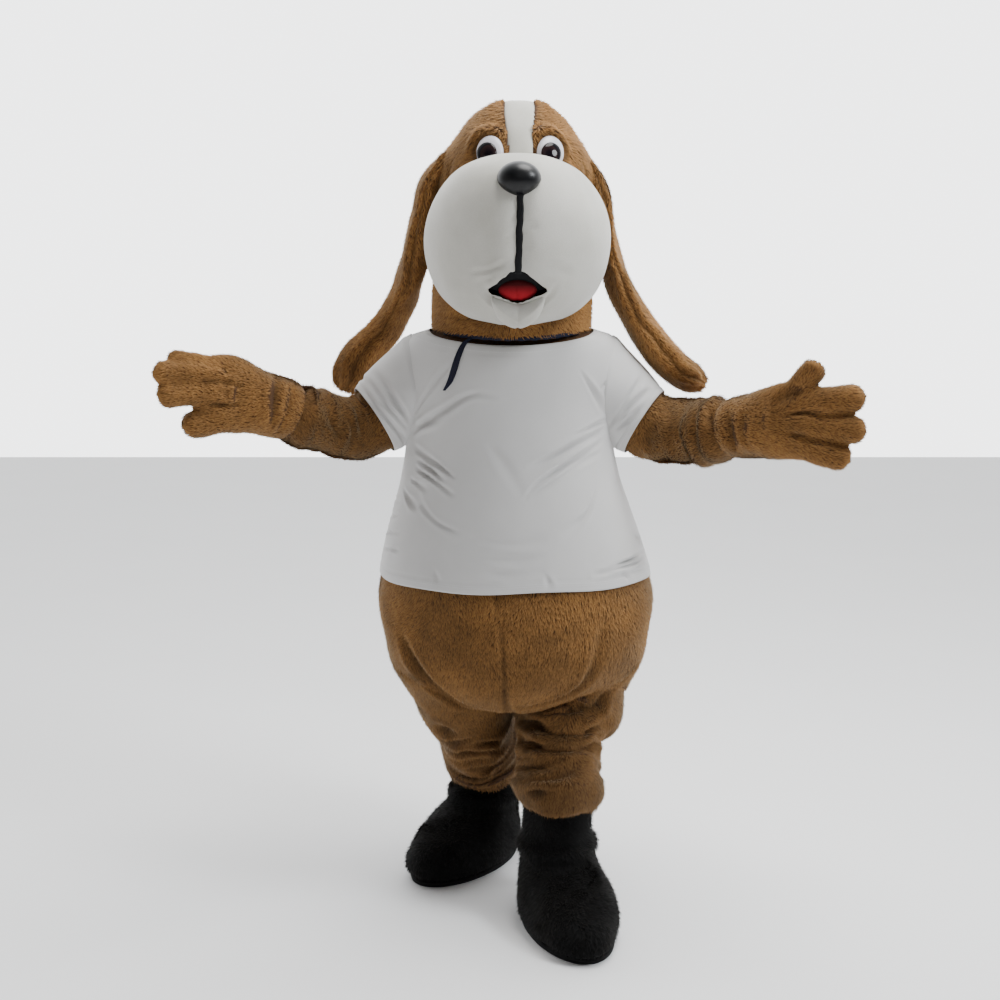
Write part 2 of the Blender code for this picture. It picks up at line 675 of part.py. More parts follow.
def build_head(fur, white):
    reach = 0.40
    left, right, blaze = (
        head_wall("head_left", fur),
        head_wall("head_right", fur),
        head_wall("head_blaze", white),
    )
    half = SEAM / 2
    combine(left, "DIFFERENCE", box("right_side", (-reach, -reach, 1.2), (BLAZE_CENTRE + half, reach, 2.0)))
    combine(right, "DIFFERENCE", box("left_side", (BLAZE_CENTRE - half, -reach, 1.2), (reach, reach, 2.0)))
    slot_low = (BLAZE_CENTRE - BLAZE_HALF_WIDTH - SEAM, -reach, BLAZE_FOOT - SEAM)
    slot_high = (BLAZE_CENTRE + BLAZE_HALF_WIDTH + SEAM, BLAZE_BACK + SEAM, 2.0)
    slot = box("blaze_slot", slot_low, slot_high)
    combine(left, "DIFFERENCE", slot)
    combine(right, "DIFFERENCE", slot)
    keep_low = (BLAZE_CENTRE - BLAZE_HALF_WIDTH, -reach, BLAZE_FOOT)
    keep_high = (BLAZE_CENTRE + BLAZE_HALF_WIDTH, BLAZE_BACK, 2.0)
    combine(blaze, "INTERSECT", box("blaze_keep", keep_low, keep_high))
    muzzle = body_surface(MUZZLE)
    heights = [ring.height for ring in MUZZLE]
    hollow = volume("muzzle_hollow", muzzle, full_turn(MUZZLE_COLUMNS), heights, -FOAM_WALL)
    for panel in (left, right, blaze):
        combine(panel, "DIFFERENCE", hollow)


def build_muzzle(white, black, red):
    muzzle = body_surface(MUZZLE)
    heights = [ring.height for ring in MUZZLE]
    head = body_surface(HEAD)
    head_heights = [ring.height for ring in HEAD]
    head_clear = volume("head_clear", head, full_turn(HEAD_COLUMNS), head_heights, SEAM)
    front = front_surface(MUZZLE)
    edge = mirrored(MOUTH_EDGE, MOUTH_FOOT)
    mouth_cut = patch("mouth_cut", front, MOUTH_CENTRE, edge, lambda share: -0.03, lambda share: 0.03)
    hollow = volume("muzzle_core", muzzle, full_turn(MUZZLE_COLUMNS), heights, -FOAM_WALL)
    half = SEAM / 2
    reach = 0.60
    centre = MUZZLE[0].across_centre
    cuts = {
        "left": box("muzzle_right_side", (-reach, -reach, 1.2), (centre + half, reach, 2.0)),
        "right": box("muzzle_left_side", (centre - half, -reach, 1.2), (reach, reach, 2.0)),
    }
    for side in ("left", "right"):
        cheek = volume("muzzle_" + side, muzzle, full_turn(MUZZLE_COLUMNS), heights, 0.0, white)
        combine(cheek, "DIFFERENCE", hollow, head_clear, cuts[side], mouth_cut)
    behind = -(FOAM_WALL + SEAM + 0.0040)
    wider = [(1.14 * x, 1.14 * z) for x, z in edge]
    patch(
        "mouth_lining",
        front,
        MOUTH_CENTRE,
        wider,
        lambda share: behind - 0.003,
        lambda share: behind,
        black,
    )
    patch(
        "tongue",
        front,
        (MOUTH_CENTRE[0], MOUTH_CENTRE[1] - 0.004),
        oval(0.031, 0.0165),
        lambda share: behind + 2 * SEAM,
        lambda share: behind + 0.0025 + 0.012 * math.sqrt(1 - share**2),
        red,
    )
    muzzle_clear = volume("muzzle_clear", muzzle, full_turn(MUZZLE_COLUMNS), heights, 2 * SEAM)
    chin = patch(
        "chin",
        front,
        CHIN_CENTRE,
        mirrored(CHIN_EDGE, CHIN_FOOT),
        lambda share: -0.004,
        lambda share: 0.004 + 0.020 * math.sqrt(1 - 0.96 * share**2),
        white,
    )
    combine(chin, "DIFFERENCE", mouth_cut, muzzle_clear)
    strip = front_surface(MUZZLE, SEAM + 0.0035)
    across = [centre - LINE_HALF_WIDTH, centre, centre + LINE_HALF_WIDTH]
    wall("mouth_line", strip, across, even(LINE_FOOT, LINE_TOP, 7), 0.003, black, False)
    return head_clear, muzzle_clear


def build_nose(muzzle_clear, black):
    """A domed nose that is seated on the muzzle's front."""
    tilt = Matrix.Rotation(math.radians(NOSE_TILT), 3, "X")
    turns = full_turn(16)
    points, count = [], 7
    for i in range(1, count):
        polar = math.pi * i / count
        for turn in turns:
            across, upright = math.sin(polar) * math.sin(turn), math.sin(polar) * math.cos(turn)
            narrow = 1 - 0.16 * max(0.0, -upright)
            forward = -math.cos(polar) * NOSE_HALF[1]
            local = Vector((across * NOSE_HALF[0] * narrow, forward, upright * NOSE_HALF[2]))
            points.append(Vector(NOSE_CENTRE) + tilt @ local)
    width = len(turns)
    rows = [list(range(i * width, (i + 1) * width)) for i in range(count - 1)]
    faces = [face for first, second in zip(rows, rows[1:]) for face in strip_faces(first, second, True)]
    for row, end in ((rows[0], -1), (rows[-1], 1)):
        points.append(Vector(NOSE_CENTRE) + tilt @ Vector((0, end * NOSE_HALF[1], 0)))
        faces += [(row[i], row[(i + 1) % width], len(points) - 1) for i in range(width)]
    nose = add_object("nose", points, faces, black)
    combine(nose, "DIFFERENCE", muzzle_clear)


def build_eyes(muzzle_clear, white, iris):
    head = front_surface(HEAD)
    for side, sign in (("left", 1), ("right", -1)):
        centre = (BLAZE_CENTRE + sign * EYE_SPREAD, EYE_HEIGHT)
        ball = patch(
            "eye_white_" + side,
            head,
            centre,
            oval(*EYE_HALF),
            lambda share: SEAM,
            lambda share: 0.002 + 0.009 * math.sqrt(1 - share**2),
            white,
        )
        combine(ball, "DIFFERENCE", muzzle_clear)
        dome = patch(
            "eye_iris_" + side,
            head,
            (centre[0], centre[1] - 0.001),
            oval(*IRIS_HALF),
            lambda share: 0.0114,
            lambda share: 0.0126 + 0.004 * math.sqrt(1 - share**2),
            iris,
        )
        combine(dome, "DIFFERENCE", muzzle_clear)


def build_ears(head_clear, fur):
    """Each ear is two stuffed leaves that are sewn together round the edge."""
    for side, stations, sign in (("left", EAR_LEFT, 1), ("right", EAR_RIGHT, -1)):
        ear = limb_surface(stations, (0, -1, 0), ("broad", "thick"))
        rings = even(0.0, 1.0, 12)
        columns = {
            "outer": seam_columns(-90 - 90 * sign, 90 - 90 * sign, 8),
            "inner": seam_columns(90 - 90 * sign, 270 - 90 * sign, 8),
        }
        for leaf, turns in columns.items():
            pad = volume("ear_{}_{}".format(leaf, side), ear, turns, rings, 0.0, fur)
            combine(pad, "DIFFERENCE", head_clear)


def build_tape(navy):
    head = body_surface(HEAD)
    neck = HEAD[0].height

    def drawn(angle, height, offset):
        rise = SKIRT_RISE * math.sin(angle) ** 2
        place = head(angle, neck, -0.004 + offset)
        place.z = neck + rise - SEAM - height
        return place

    columns = even(-math.radians(TAPE_ARC), math.radians(TAPE_ARC), 9)
    wall("neck_tape", drawn, columns, [0.0, TAPE_WIDTH], TAPE_THICK, navy, False)
    shirt = front_surface(TORSO, SHIRT_WALL + SHIRT_EASE + 0.0030)

    def hanging(side, height, offset):
        row = between(TAPE_ROWS, -height)
        return shirt(row[1] + side * row[2], height, offset)

    heights = even(TAPE_END[0][0], TAPE_END[-1][0], 7)
    wall("neck_tape_end", hanging, [-1.0, 0.0, 1.0], heights, TAPE_THICK, navy, False)


TAPE_ROWS = [(-height, across, half) for height, across, half in TAPE_END]


# Gloves
def digit_surface(digit, offset=0.0):
    """A round finger with a domed tip, from the palm to its end."""
    root, tip = Vector(digit.root), Vector(digit.tip)
    length = (tip - root).length + offset
    along = (tip - root).normalized()
    side = along.cross(Vector((0, -1, 0))).normalized()
    upward = side.cross(along)
    radius = digit.radius + offset

    def point(angle, share, extra):
        rest = max(0.0, (share - 0.70) / 0.30)
        swell = 0.94 + 0.10 * math.sin(math.pi * min(1.0, share / 0.8))
        size = radius * swell * math.sqrt(max(0.02, 1 - rest**2)) + extra
        return root + along * (length * share) + (upward * math.cos(angle) + side * math.sin(angle)) * size

    return point


def build_gloves(fur):
    digit_rings = [0.0, 0.4, 0.75, 0.92, 1.0]
    for side, stations in (("left", ARM_LEFT), ("right", ARM_RIGHT)):
        palm = limb_surface(stations, (0, 0, 1), ("glove_up", "glove_side"))
        rings = even(GLOVE_CUFF, GLOVE_END, 7)
        glove = volume("glove_" + side, palm, full_turn(ARM_COLUMNS), rings, 0.0, fur)
        inner_rings = even(GLOVE_CUFF - 0.03, GLOVE_END - 0.02, 6)
        hollow = volume("palm_hollow_" + side, palm, full_turn(ARM_COLUMNS), inner_rings, -GLOVE_WALL)
        for digit in DIGITS[side]:
            name = digit.name + "_" + side
            outer = volume(name, digit_surface(digit), full_turn(8), digit_rings)
            combine(glove, "UNION", outer)
        sleeve = limb_surface(stations, (0, 0, 1), ("sleeve", "sleeve"), ARM_ROLLS[side])
        sleeve_rings = roll_rings(ARM_ROLLS[side], SHIRT_CUFF, CUFF_RINGS, [0.630, 0.660, SLEEVE_END])[-5:]
        sleeve_clear = volume("sleeve_clear_" + side, sleeve, full_turn(ARM_COLUMNS), sleeve_rings, SEAM)
        combine(glove, "DIFFERENCE", hollow, sleeve_clear)
        for digit in DIGITS[side]:
            name = digit.name + "_hollow_" + side
            inner = volume(name, digit_surface(digit, -GLOVE_WALL), full_turn(6), [0.0, 0.75, 1.0])
            combine(glove, "DIFFERENCE", inner)


# Boots
def foot_surface(side, rows):
    """The boot's surface in its own frame, turned and set down where the foot stands."""
    foot = FEET[side]
    place = Matrix.Translation((foot.x, foot.y, 0)) @ Matrix.Rotation(math.radians(foot.turn), 4, "Z")
    surface = body_surface(rows)

    def point(angle, height, offset):
        lean = max(0.0, (height - SHAFT_FOOT) / (BOOT[-1].height - SHAFT_FOOT))
        return place @ surface(angle, height, offset) + lean * Vector((*foot.lean, 0.0))

    return point


def build_boots(fur, rubber):
    for side in ("left", "right"):
        boot = foot_surface(side, BOOT)
        heights = [ring.height for ring in BOOT]
        wall("boot_" + side, boot, full_turn(BOOT_COLUMNS), heights, FUR_WALL, fur, True)
        foot = BOOT[0]
        margin = 0.004
        half, front, back = foot.half_width + margin, foot.front + margin, foot.back + margin
        rows = [foot._replace(height=level, half_width=half, front=front, back=back) for level in (0.0, SOLE)]
        sole = foot_surface(side, rows)
        volume("boot_sole_" + side, sole, full_turn(BOOT_COLUMNS), [0.0, SOLE], 0.0, rubber)


for old in list(bpy.data.objects):
    bpy.data.objects.remove(old)
for group in (PARTS, CUTTERS):
    bpy.context.scene.collection.children.link(group)
FRAME = bpy.data.objects.new("costume_frame", None)
FRAME.location = (0.0, 0.0, -HOLD_HEIGHT)
PARTS.objects.link(FRAME)

BROWN = material("brown_plush", (0.300, 0.155, 0.058), 0.95)
BLACK_PLUSH = material("black_plush", (0.010, 0.010, 0.011), 0.90)
WHITE_PLUSH = material("white_plush", (0.780, 0.770, 0.730), 0.95)
JERSEY = material("white_jersey", (0.800, 0.800, 0.800), 0.85)
BLACK_FELT = material("black_felt", (0.008, 0.008, 0.009), 0.95)
RED_FELT = material("red_felt", (0.350, 0.010, 0.018), 0.90)
GLOSS_BLACK = material("gloss_black", (0.012, 0.012, 0.014), 0.35)
EYE_WHITE = material("eye_white", (0.820, 0.790, 0.830), 0.30)
IRIS = material("iris_brown", (0.018, 0.010, 0.010), 0.15)
NAVY = material("navy_tape", (0.008, 0.010, 0.045), 0.80)
RUBBER = material("sole_rubber", (0.020, 0.014, 0.012), 0.80)

build_suit(BROWN)
build_shirt(JERSEY)
build_head(BROWN, WHITE_PLUSH)
HEAD_CLEAR, MUZZLE_CLEAR = build_muzzle(WHITE_PLUSH, BLACK_FELT, RED_FELT)
build_nose(MUZZLE_CLEAR, GLOSS_BLACK)
build_eyes(MUZZLE_CLEAR, EYE_WHITE, IRIS)
build_ears(HEAD_CLEAR, BROWN)
build_tape(NAVY)
build_gloves(BROWN)
build_boots(BLACK_PLUSH, RUBBER)
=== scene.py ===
"""Dresses the dog mascot costume: plush pile, cloth folds, sewn detail, finishes and a plain studio.

Heights in the tables are above the floor, in metres; the dog faces -Y and its left is +X.
Every form is a grid of points over two values: an angle round the piece, and a height or a share
of a limb's length. Folds are pressed into the grids along short lines, and the pile is grown on them.
"""

import math
from collections import namedtuple

import bmesh
import bpy
import numpy as np
from bpy.props import FloatProperty, FloatVectorProperty, PointerProperty
from mathutils import Matrix, Vector


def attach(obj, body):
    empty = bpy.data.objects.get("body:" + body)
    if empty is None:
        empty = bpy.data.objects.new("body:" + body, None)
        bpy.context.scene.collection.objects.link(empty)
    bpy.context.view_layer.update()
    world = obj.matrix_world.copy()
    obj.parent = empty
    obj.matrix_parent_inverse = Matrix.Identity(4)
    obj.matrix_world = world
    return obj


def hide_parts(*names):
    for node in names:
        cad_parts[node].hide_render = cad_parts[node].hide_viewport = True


bl_info = {
    "name": "Dog mascot costume",
    "version": (1, 0, 0),
    "blender": (4, 5, 0),
    "location": "3D View > Sidebar > Costume",
    "description": "Builds a plush dog mascot costume with a T-shirt, and a plain studio for it",
    "category": "Add Mesh",
}

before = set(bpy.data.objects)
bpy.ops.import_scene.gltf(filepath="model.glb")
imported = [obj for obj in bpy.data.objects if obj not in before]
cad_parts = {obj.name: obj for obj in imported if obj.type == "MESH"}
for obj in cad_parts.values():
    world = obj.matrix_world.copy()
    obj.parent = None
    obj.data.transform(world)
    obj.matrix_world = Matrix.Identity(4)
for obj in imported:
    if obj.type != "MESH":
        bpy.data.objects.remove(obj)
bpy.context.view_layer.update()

HOLD_HEIGHT = 1.330
HOLD = np.array([0.0, 0.0, HOLD_HEIGHT])
DOWN = (0.0, 0.0, -1.0)
SHIRT_EASE = 0.0025
SHIRT_WALL = 0.002
HEM_HEIGHT = 0.785
NECKLINE_SIDE = 1.361
NECKLINE_FRONT = 1.331
NECKLINE_BACK = 1.347
SKIRT_RISE = 0.016
SHAFT_FOOT = 0.200
SHAFT_TOP = 0.300
WELT_HEIGHT = 0.0123
SOLE_EDGE = ((0.0003, -0.0010), (0.0014, 0.0016), (0.0060, 0.0026), (0.0104, 0.0020), (0.0119, 0.0002))
HEAD_FOOT = 1.355
TAPE_TOP = 1.3532

Ring = namedtuple("Ring", "height across_centre depth_centre half_width front back")
Station = namedtuple("Station", "x y z across_x across_y")
ArmStation = namedtuple("ArmStation", "x y z sleeve glove_up glove_side")
EarStation = namedtuple("EarStation", "x y z thick broad")
Roll = namedtuple("Roll", "share width height toward")
Digit = namedtuple("Digit", "root tip radius")
Foot = namedtuple("Foot", "x y turn lean")
Fold = namedtuple("Fold", "depth width ridge line")
Bump = namedtuple("Bump", "x y z radius height")

SIDES = ("left", "right")
UP, FRONT = (0, 0, 1), (0, -1, 0)
PILE_TREE, STITCH_TREE = "plush pile", "row of stitches"
BLADE_LONG, BLADE_WIDE = 1.5, 1.732


def rows_of(kind, text):
    """A table's rows from lines of numbers."""
    return [kind(*map(float, line.split())) for line in text.strip().splitlines()]


def folds(text):
    """Folds from lines of numbers: depth, half width, the ridge beside the fold as a share of its depth,
    and then the line's points, each an angle in degrees and a height or a share of the limb."""
    lines = [[float(word) for word in line.split()] for line in text.strip().splitlines()]
    return [Fold(*line[:3], list(zip(line[3::2], line[4::2]))) for line in lines]


TORSO = rows_of(Ring, """
.464 0 -.02 .06 .06 .055
.481 0 -.02 .145 .145 .12
.516 0 -.02 .214 .208 .162
.562 .002 -.017 .277 .256 .198
.63 .003 -.014 .318 .283 .219
.715 .003 -.012 .331 .29 .23
.785 .001 -.01 .323 .285 .228
.86 -.002 -.008 .304 .271 .22
.94 -.006 -.006 .28 .253 .211
1.02 -.01 -.004 .256 .235 .203
1.11 -.012 -.002 .24 .217 .197
1.19 -.013 0 .244 .205 .192
1.265 -.013 0 .25 .193 .187
1.318 -.012 0 .242 .18 .178
1.346 -.01 0 .226 .163 .166
1.358 -.008 0 .1978 .152 .155
1.369 -.008 0 .166 .142 .148
1.395 -.008 0 .154 .136 .142
""")

HEAD = rows_of(Ring, """
1.355 -.008 0 .19 .186 .19
1.42 -.007 0 .19 .187 .193
1.52 -.004 0 .188 .188 .199
1.62 .001 0 .184 .186 .202
1.7 .003 0 .177 .18 .199
1.755 .003 0 .165 .168 .19
1.8 .003 0 .146 .146 .17
1.838 .003 0 .118 .114 .136
1.864 .003 0 .086 .08 .096
1.877 .003 0 .054 .05 .06
1.882 .003 0 .02 .018 .022
""")

MUZZLE = rows_of(Ring, """
1.378 .002 -.16 .04 .07 .05
1.394 .002 -.16 .106 .154 .076
1.432 .002 -.16 .16 .21 .09
1.475 .003 -.16 .188 .238 .095
1.525 .003 -.16 .202 .254 .095
1.575 .003 -.16 .204 .262 .095
1.62 .003 -.16 .195 .262 .095
1.66 .003 -.16 .177 .252 .09
1.695 .003 -.16 .15 .23 .085
1.722 .003 -.16 .116 .192 .075
1.739 .003 -.16 .076 .14 .06
1.746 .003 -.16 .036 .072 .04
""")

BOOT = rows_of(Ring, """
.0123 0 -.078 .097 .182 .17
.032 0 -.078 .107 .194 .182
.068 0 -.074 .108 .192 .18
.102 0 -.06 .102 .17 .164
.13 0 -.034 .092 .13 .138
.146 0 -.014 .088 .104 .11
.162 0 0 .097 .101 .098
.178 0 0 .097 .1 .097
.198 0 0 .082 .083 .082
.3 0 0 .079 .079 .079
""")

FEET = {
    "left": Foot(0.099, -0.180, 15.0, (0.003, 0.006)),
    "right": Foot(-0.074, 0.146, -38.0, (-0.008, -0.012)),
}

LEGS = {
    "left": rows_of(Station, """
.15 -.01 .66 .148 .18
.154 -.012 .59 .149 .18
.136 -.025 .52 .137 .168
.128 -.052 .455 .131 .15
.11 -.092 .405 .101 .132
.105 -.132 .355 .097 .116
.104 -.164 .315 .1 .112
.101 -.177 .285 .104 .109
.1 -.18 .262 .0925 .0925
"""),
    "right": rows_of(Station, """
-.148 -.01 .66 .146 .18
-.148 -.01 .59 .144 .18
-.131 .002 .52 .132 .162
-.118 .028 .45 .119 .142
-.103 .062 .385 .094 .124
-.091 .104 .325 .091 .115
-.081 .132 .275 .094 .108
-.076 .143 .235 .0965 .104
-.074 .146 .212 .0925 .0925
"""),
}

LEG_ROLLS = {
    "left": rows_of(Roll, """
.52 .022 .016 70
.625 .017 .013 20
.715 .016 .013 -30
.805 .015 .01 30
.905 .016 .012 60
"""),
    "right": rows_of(Roll, """
.54 .02 .012 -50
.64 .018 .013 0
.73 .016 .012 -60
.815 .016 .012 10
.905 .015 .01 -40
"""),
}

ARMS = {
    "left": rows_of(ArmStation, """
.16 0 1.262 .1 .06 .06
.223 -.002 1.211 .101 .06 .06
.309 -.02 1.146 .082 .06 .06
.352 -.045 1.134 .078 .068 .066
.405 -.08 1.132 .076 .074 .072
.46 -.136 1.139 .077 .076 .074
.482 -.159 1.146 .064 .0715 .071
.501 -.18 1.152 .064 .0735 .072
.537 -.22 1.163 .054 .077 .064
.583 -.255 1.173 .05 .087 .048
.618 -.278 1.178 .05 .088 .042
.648 -.292 1.178 .05 .074 .034
.666 -.3 1.177 .05 .036 .018
"""),
    "right": rows_of(ArmStation, """
-.18 0 1.262 .1 .06 .06
-.253 -.002 1.211 .101 .06 .06
-.337 -.02 1.149 .082 .06 .06
-.386 -.045 1.137 .076 .068 .066
-.428 -.08 1.151 .073 .074 .072
-.488 -.128 1.172 .074 .077 .074
-.51 -.147 1.184 .065 .0725 .072
-.53 -.165 1.194 .065 .0735 .072
-.57 -.2 1.211 .054 .075 .064
-.612 -.232 1.226 .05 .086 .048
-.648 -.256 1.238 .05 .087 .042
-.678 -.272 1.242 .05 .07 .034
-.696 -.28 1.243 .05 .036 .018
"""),
}

ARM_ROLLS = {
    "left": rows_of(Roll, """
.36 .015 .0048 150
.44 .015 .0056 170
.52 .014 .0072 160
.595 .013 .0072 20
"""),
    "right": rows_of(Roll, """
.35 .017 .0048 160
.43 .017 .0064 190
.51 .014 .0072 20
.59 .013 .0072 0
"""),
}

SHIRT_CUFF = 0.285
SLEEVE_END = 0.720
GLOVE_CUFF = 0.655
CUFF_SHOWN = 0.636

DIGITS = {
    "left": [
        Digit((0.588, -0.262, 1.226), (0.646, -0.292, 1.304), 0.0300),
        Digit((0.600, -0.275, 1.210), (0.735, -0.332, 1.236), 0.0335),
        Digit((0.606, -0.280, 1.174), (0.740, -0.338, 1.160), 0.0325),
        Digit((0.590, -0.268, 1.134), (0.712, -0.330, 1.096), 0.0330),
    ],
    "right": [
        Digit((-0.600, -0.236, 1.180), (-0.720, -0.292, 1.166), 0.0325),
        Digit((-0.632, -0.262, 1.238), (-0.760, -0.322, 1.236), 0.0310),
        Digit((-0.636, -0.262, 1.275), (-0.768, -0.322, 1.286), 0.0285),
        Digit((-0.630, -0.252, 1.293), (-0.744, -0.292, 1.314), 0.0220),
    ],
}

EARS = {
    "left": rows_of(EarStation, """
.146 .015 1.76 .01 .04
.19 .02 1.702 .02 .064
.208 .02 1.627 .022 .07
.222 .02 1.547 .026 .074
.246 .02 1.467 .033 .076
.285 .02 1.392 .038 .078
.327 .02 1.331 .041 .078
.375 .02 1.282 .042 .072
.42 .02 1.252 .038 .06
.447 .02 1.236 .02 .03
"""),
    "right": rows_of(EarStation, """
-.132 .014 1.77 .008 .03
-.158 .016 1.752 .016 .05
-.197 .022 1.702 .025 .062
-.217 .032 1.628 .03 .066
-.235 .055 1.548 .034 .066
-.258 .095 1.467 .036 .062
-.292 .14 1.402 .038 .052
-.337 .166 1.343 .047 .042
-.38 .176 1.288 .056 .038
-.408 .178 1.242 .05 .034
-.422 .178 1.21 .028 .018
"""),
}

BLAZE_CENTRE = 0.009
BLAZE_HALF_WIDTH = 0.036
BLAZE_BACK = 0.085
BLAZE_FOOT = 1.640
BLAZE_AXIS = 1.700
EYE_HALF = (0.029, 0.036)
IRIS_HALF = (0.0205, 0.0225)
EYES = {"left": (0.0745, 1.7505), "right": (-0.0565, 1.7505)}
NOSE_CENTRE = (0.003, -0.398, 1.6745)
NOSE_HALF = (0.0445, 0.0380, 0.0345)
NOSE_TILT = 24.0
MOUTH_CENTRE = (0.001, 1.456)
MOUTH_EDGE = [(0.000, 0.038), (0.014, 0.036), (0.036, 0.018)]
MOUTH_EDGE += [(0.067, -0.004), (0.034, -0.015), (0.014, -0.024)]
MOUTH_FOOT = (0.000, -0.028)
CHIN_CENTRE = (0.002, 1.408)
CHIN_EDGE = [(0.000, 0.017), (0.020, 0.022), (0.042, 0.031), (0.056, 0.036), (0.048, 0.004), (0.028, -0.016)]
CHIN_FOOT = (0.000, -0.024)
LINE_HALF_WIDTH = 0.0075
LINE_TOP = 1.644
LINE_FOOT = 1.497

# Height, distance across and half width of the tape end that hangs over the T-shirt
TAPE_END = [
    (1.345, -0.097, 0.0035),
    (1.337, -0.110, 0.0045),
    (1.312, -0.124, 0.0062),
    (1.282, -0.134, 0.0074),
    (1.255, -0.143, 0.0058),
    (1.233, -0.156, 0.0018),
]

SHIRT_FOLDS = folds("""
.004 .007 .5 -66 1.132 -39 1.184 -20.2 1.225 -6.8 1.222
.0035 .0062 .4 -63 1.098 -42.8 1.071 -29.2 1.042
.003 .0055 .5 -59.3 1.075 -44.2 1.052 -35.2 1.033
.0035 .0055 .4 -60 1.054 -41.2 1.029 -29.2 1.004
.0025 .0055 .4 -63.8 1.026 -53.2 1.016 -46.5 1.009
.004 .007 .5 62 1.144 39.8 1.118 27 1.097 10.5 1.069
.004 .0062 .5 62 1.118 32.2 1.075 12.8 1.03 6 1
.003 .0062 .5 56 1.09 39.8 1.073 23.2 1.039 9.8 1.009
.003 .0047 .4 66 1.265 58.5 1.251 53.2 1.233
.005 .0062 .7 33.8 .829 48.8 .833 74 .832
.004 .0055 .6 39.8 .839 55.5 .843 77 .845
.003 .0047 .5 70 .893 77.2 .872 80 .857
.0025 .0047 .4 -92 .962 -82 .962 -72.8 .969
.0025 .0047 .4 -92 .924 -80 .93 -69 .938
.003 .0047 .4 -90 .887 -74 .894 -63 .901
.0025 .0047 .4 -80 .853 -68 .859 -60 .863
.002 .0125 .4 -20.2 .915 -2.2 .904 15 .911
.002 .0125 .4 -18.8 .876 -2.2 .871 14.3 .878
.0018 .0109 .4 -14.3 .843 -2.2 .84 12 .847
.0042 .0078 .5 118 1.14 142 1.118 160 1.086
.0036 .007 .4 120 1.106 139 1.074 152 1.04
.003 .0062 .4 116 1.066 130 1.046 138 1.02
.0044 .0078 .5 -118 1.15 -140 1.134 -163 1.092
.0034 .0062 .4 -120 1.11 -137 1.082 -148 1.046
.0028 .0055 .4 -115 1.07 -128 1.052 -136 1.034
.004 .0094 .5 150 1.262 174 1.24 196 1.252
.0034 .0078 .5 132 .842 158 .834 178 .846
.003 .007 .5 186 .862 208 .848 228 .856
.0022 .0117 .4 160 .9 182 .89 204 .898
.003 .0062 .5 96 .915 106 .902 118 .906
.0024 .0065 .5 -60 1.18 -44 1.24 -30 1.296
.0022 .006 .4 -64 1.15 -48 1.158 -34 1.176
.0024 .0065 .5 60 1.176 49 1.226 38 1.276
.0026 .006 .5 64 1.16 50 1.15 36 1.134
.002 .008 .5 -52 .985 -38 .945 -24 .922
.002 .008 .5 46 1.01 37 .962 23 .922
.0022 .007 .5 -72 1 -60 .978 -50 .966
.0016 .011 .4 -12 1.12 -2 1.066 5 1.01
.0016 .008 .4 -34 .796 -33 .818 -35 .838
.0016 .008 .4 12 .796 13 .82 11 .842
.0018 .008 .4 54 .796 52 .812 47 .822
""")

CUFF_FOLDS = {
    "left": folds("""
.005 .007 .5 35 .232 69 .216 96 .198
.004 .007 .5 57 .258 88 .24 120 .218
.0035 .007 .4 28 .174 84 .186 136 .2
.004 .008 .5 -40 .206 -80 .19 -130 .184
.0035 .007 .4 -60 .25 -96 .236 -140 .226
"""),
    "right": folds("""
.006 .008 .5 -20 .18 -72.8 .184 -111 .19
.004 .008 .5 -20 .216 -75.8 .218 -117 .214
.0035 .008 .4 -14 .262 -79.5 .256 -134.2 .242
.0022 .01 .4 -30 .236 0 .226 30 .23
.004 .008 .5 50 .21 90 .196 132 .19
"""),
}

SUIT_FOLDS = folds("""
.015 .014 .5 -54 .68 -50.5 .635 -46.5 .58 -42 .54 -38 .508 -23 .49
.011 .013 .5 37 .72 34.5 .66 33 .605 31 .564 20 .528 6 .51
.007 .006 .2 -8 .86 -7.5 .8 -6.4 .72 -6 .65 -5.2 .498
.01 .013 .3 -5.5 .596 -5 .54 -4 .48
.003 .014 .4 4 .64 14 .646 24 .64
.0025 .012 .4 2 .69 10 .7 21 .694
.005 .006 .2 181 .8 180 .68 180 .47
.004 .012 .4 140 .56 156 .545 168 .552
.004 .012 .4 192 .556 206 .548 222 .566
.0035 .01 .3 96 .64 104 .6 108 .57
.0035 .01 .3 -98 .646 -104 .61 -110 .572
""")

LEG_FOLDS = {
    "left": folds("""
.014 .0163 .5 12.8 .641 1.5 .567 -28.5 .45 -42 .33
.011 .0125 .5 109.5 .581 53.2 .641 21 .705 .8 .721 -27 .695 -47.2 .56
.012 .0137 .5 101.2 .651 46.5 .737 19.5 .794 -15.8 .798 -59.3 .701
.008 .0112 .5 87 .806 46.5 .852 14.3 .862
.01 .0125 .5 50.3 .904 21 .892 -5.2 .878 -29.2 .846
.008 .0112 .5 52 .936 12.8 .924
.007 .017 .5 -70 .56 -112 .59 -158 .578
.011 .0137 .5 -76 .7 -120 .72 -165 .69
.01 .0125 .5 -60 .82 -100 .84 -145 .83
.01 .0125 .5 110 .7 150 .69 190 .66
.01 .0125 .5 100 .86 140 .85 186 .84
.01 .0125 .5 150 .56 180 .52 204 .5
"""),
    "right": folds("""
.01 .015 .4 44 .4 30 .39 15.8 .395
.009 .0125 .5 52 .5 10.5 .45 -8.2 .437
.011 .0137 .5 60 .54 15.8 .521 -8.2 .545 -38.2 .607
.008 .0112 .5 -.8 .481 -19.5 .505 -40.5 .551
.009 .0125 .5 60 .69 5.2 .65 -32.2 .729
.009 .0125 .5 50 .798 6 .798 -28.5 .87
.012 .015 .5 84 .56 124 .6 160 .57
.011 .0137 .5 80 .72 122 .7 166 .73
.01 .0125 .5 70 .86 110 .85 150 .865
.01 .0125 .5 -70 .66 -110 .69 -150 .66
.01 .0125 .5 -60 .83 -104 .81 -150 .84
.01 .0125 .5 -150 .54 -180 .51 -204 .52
"""),
}

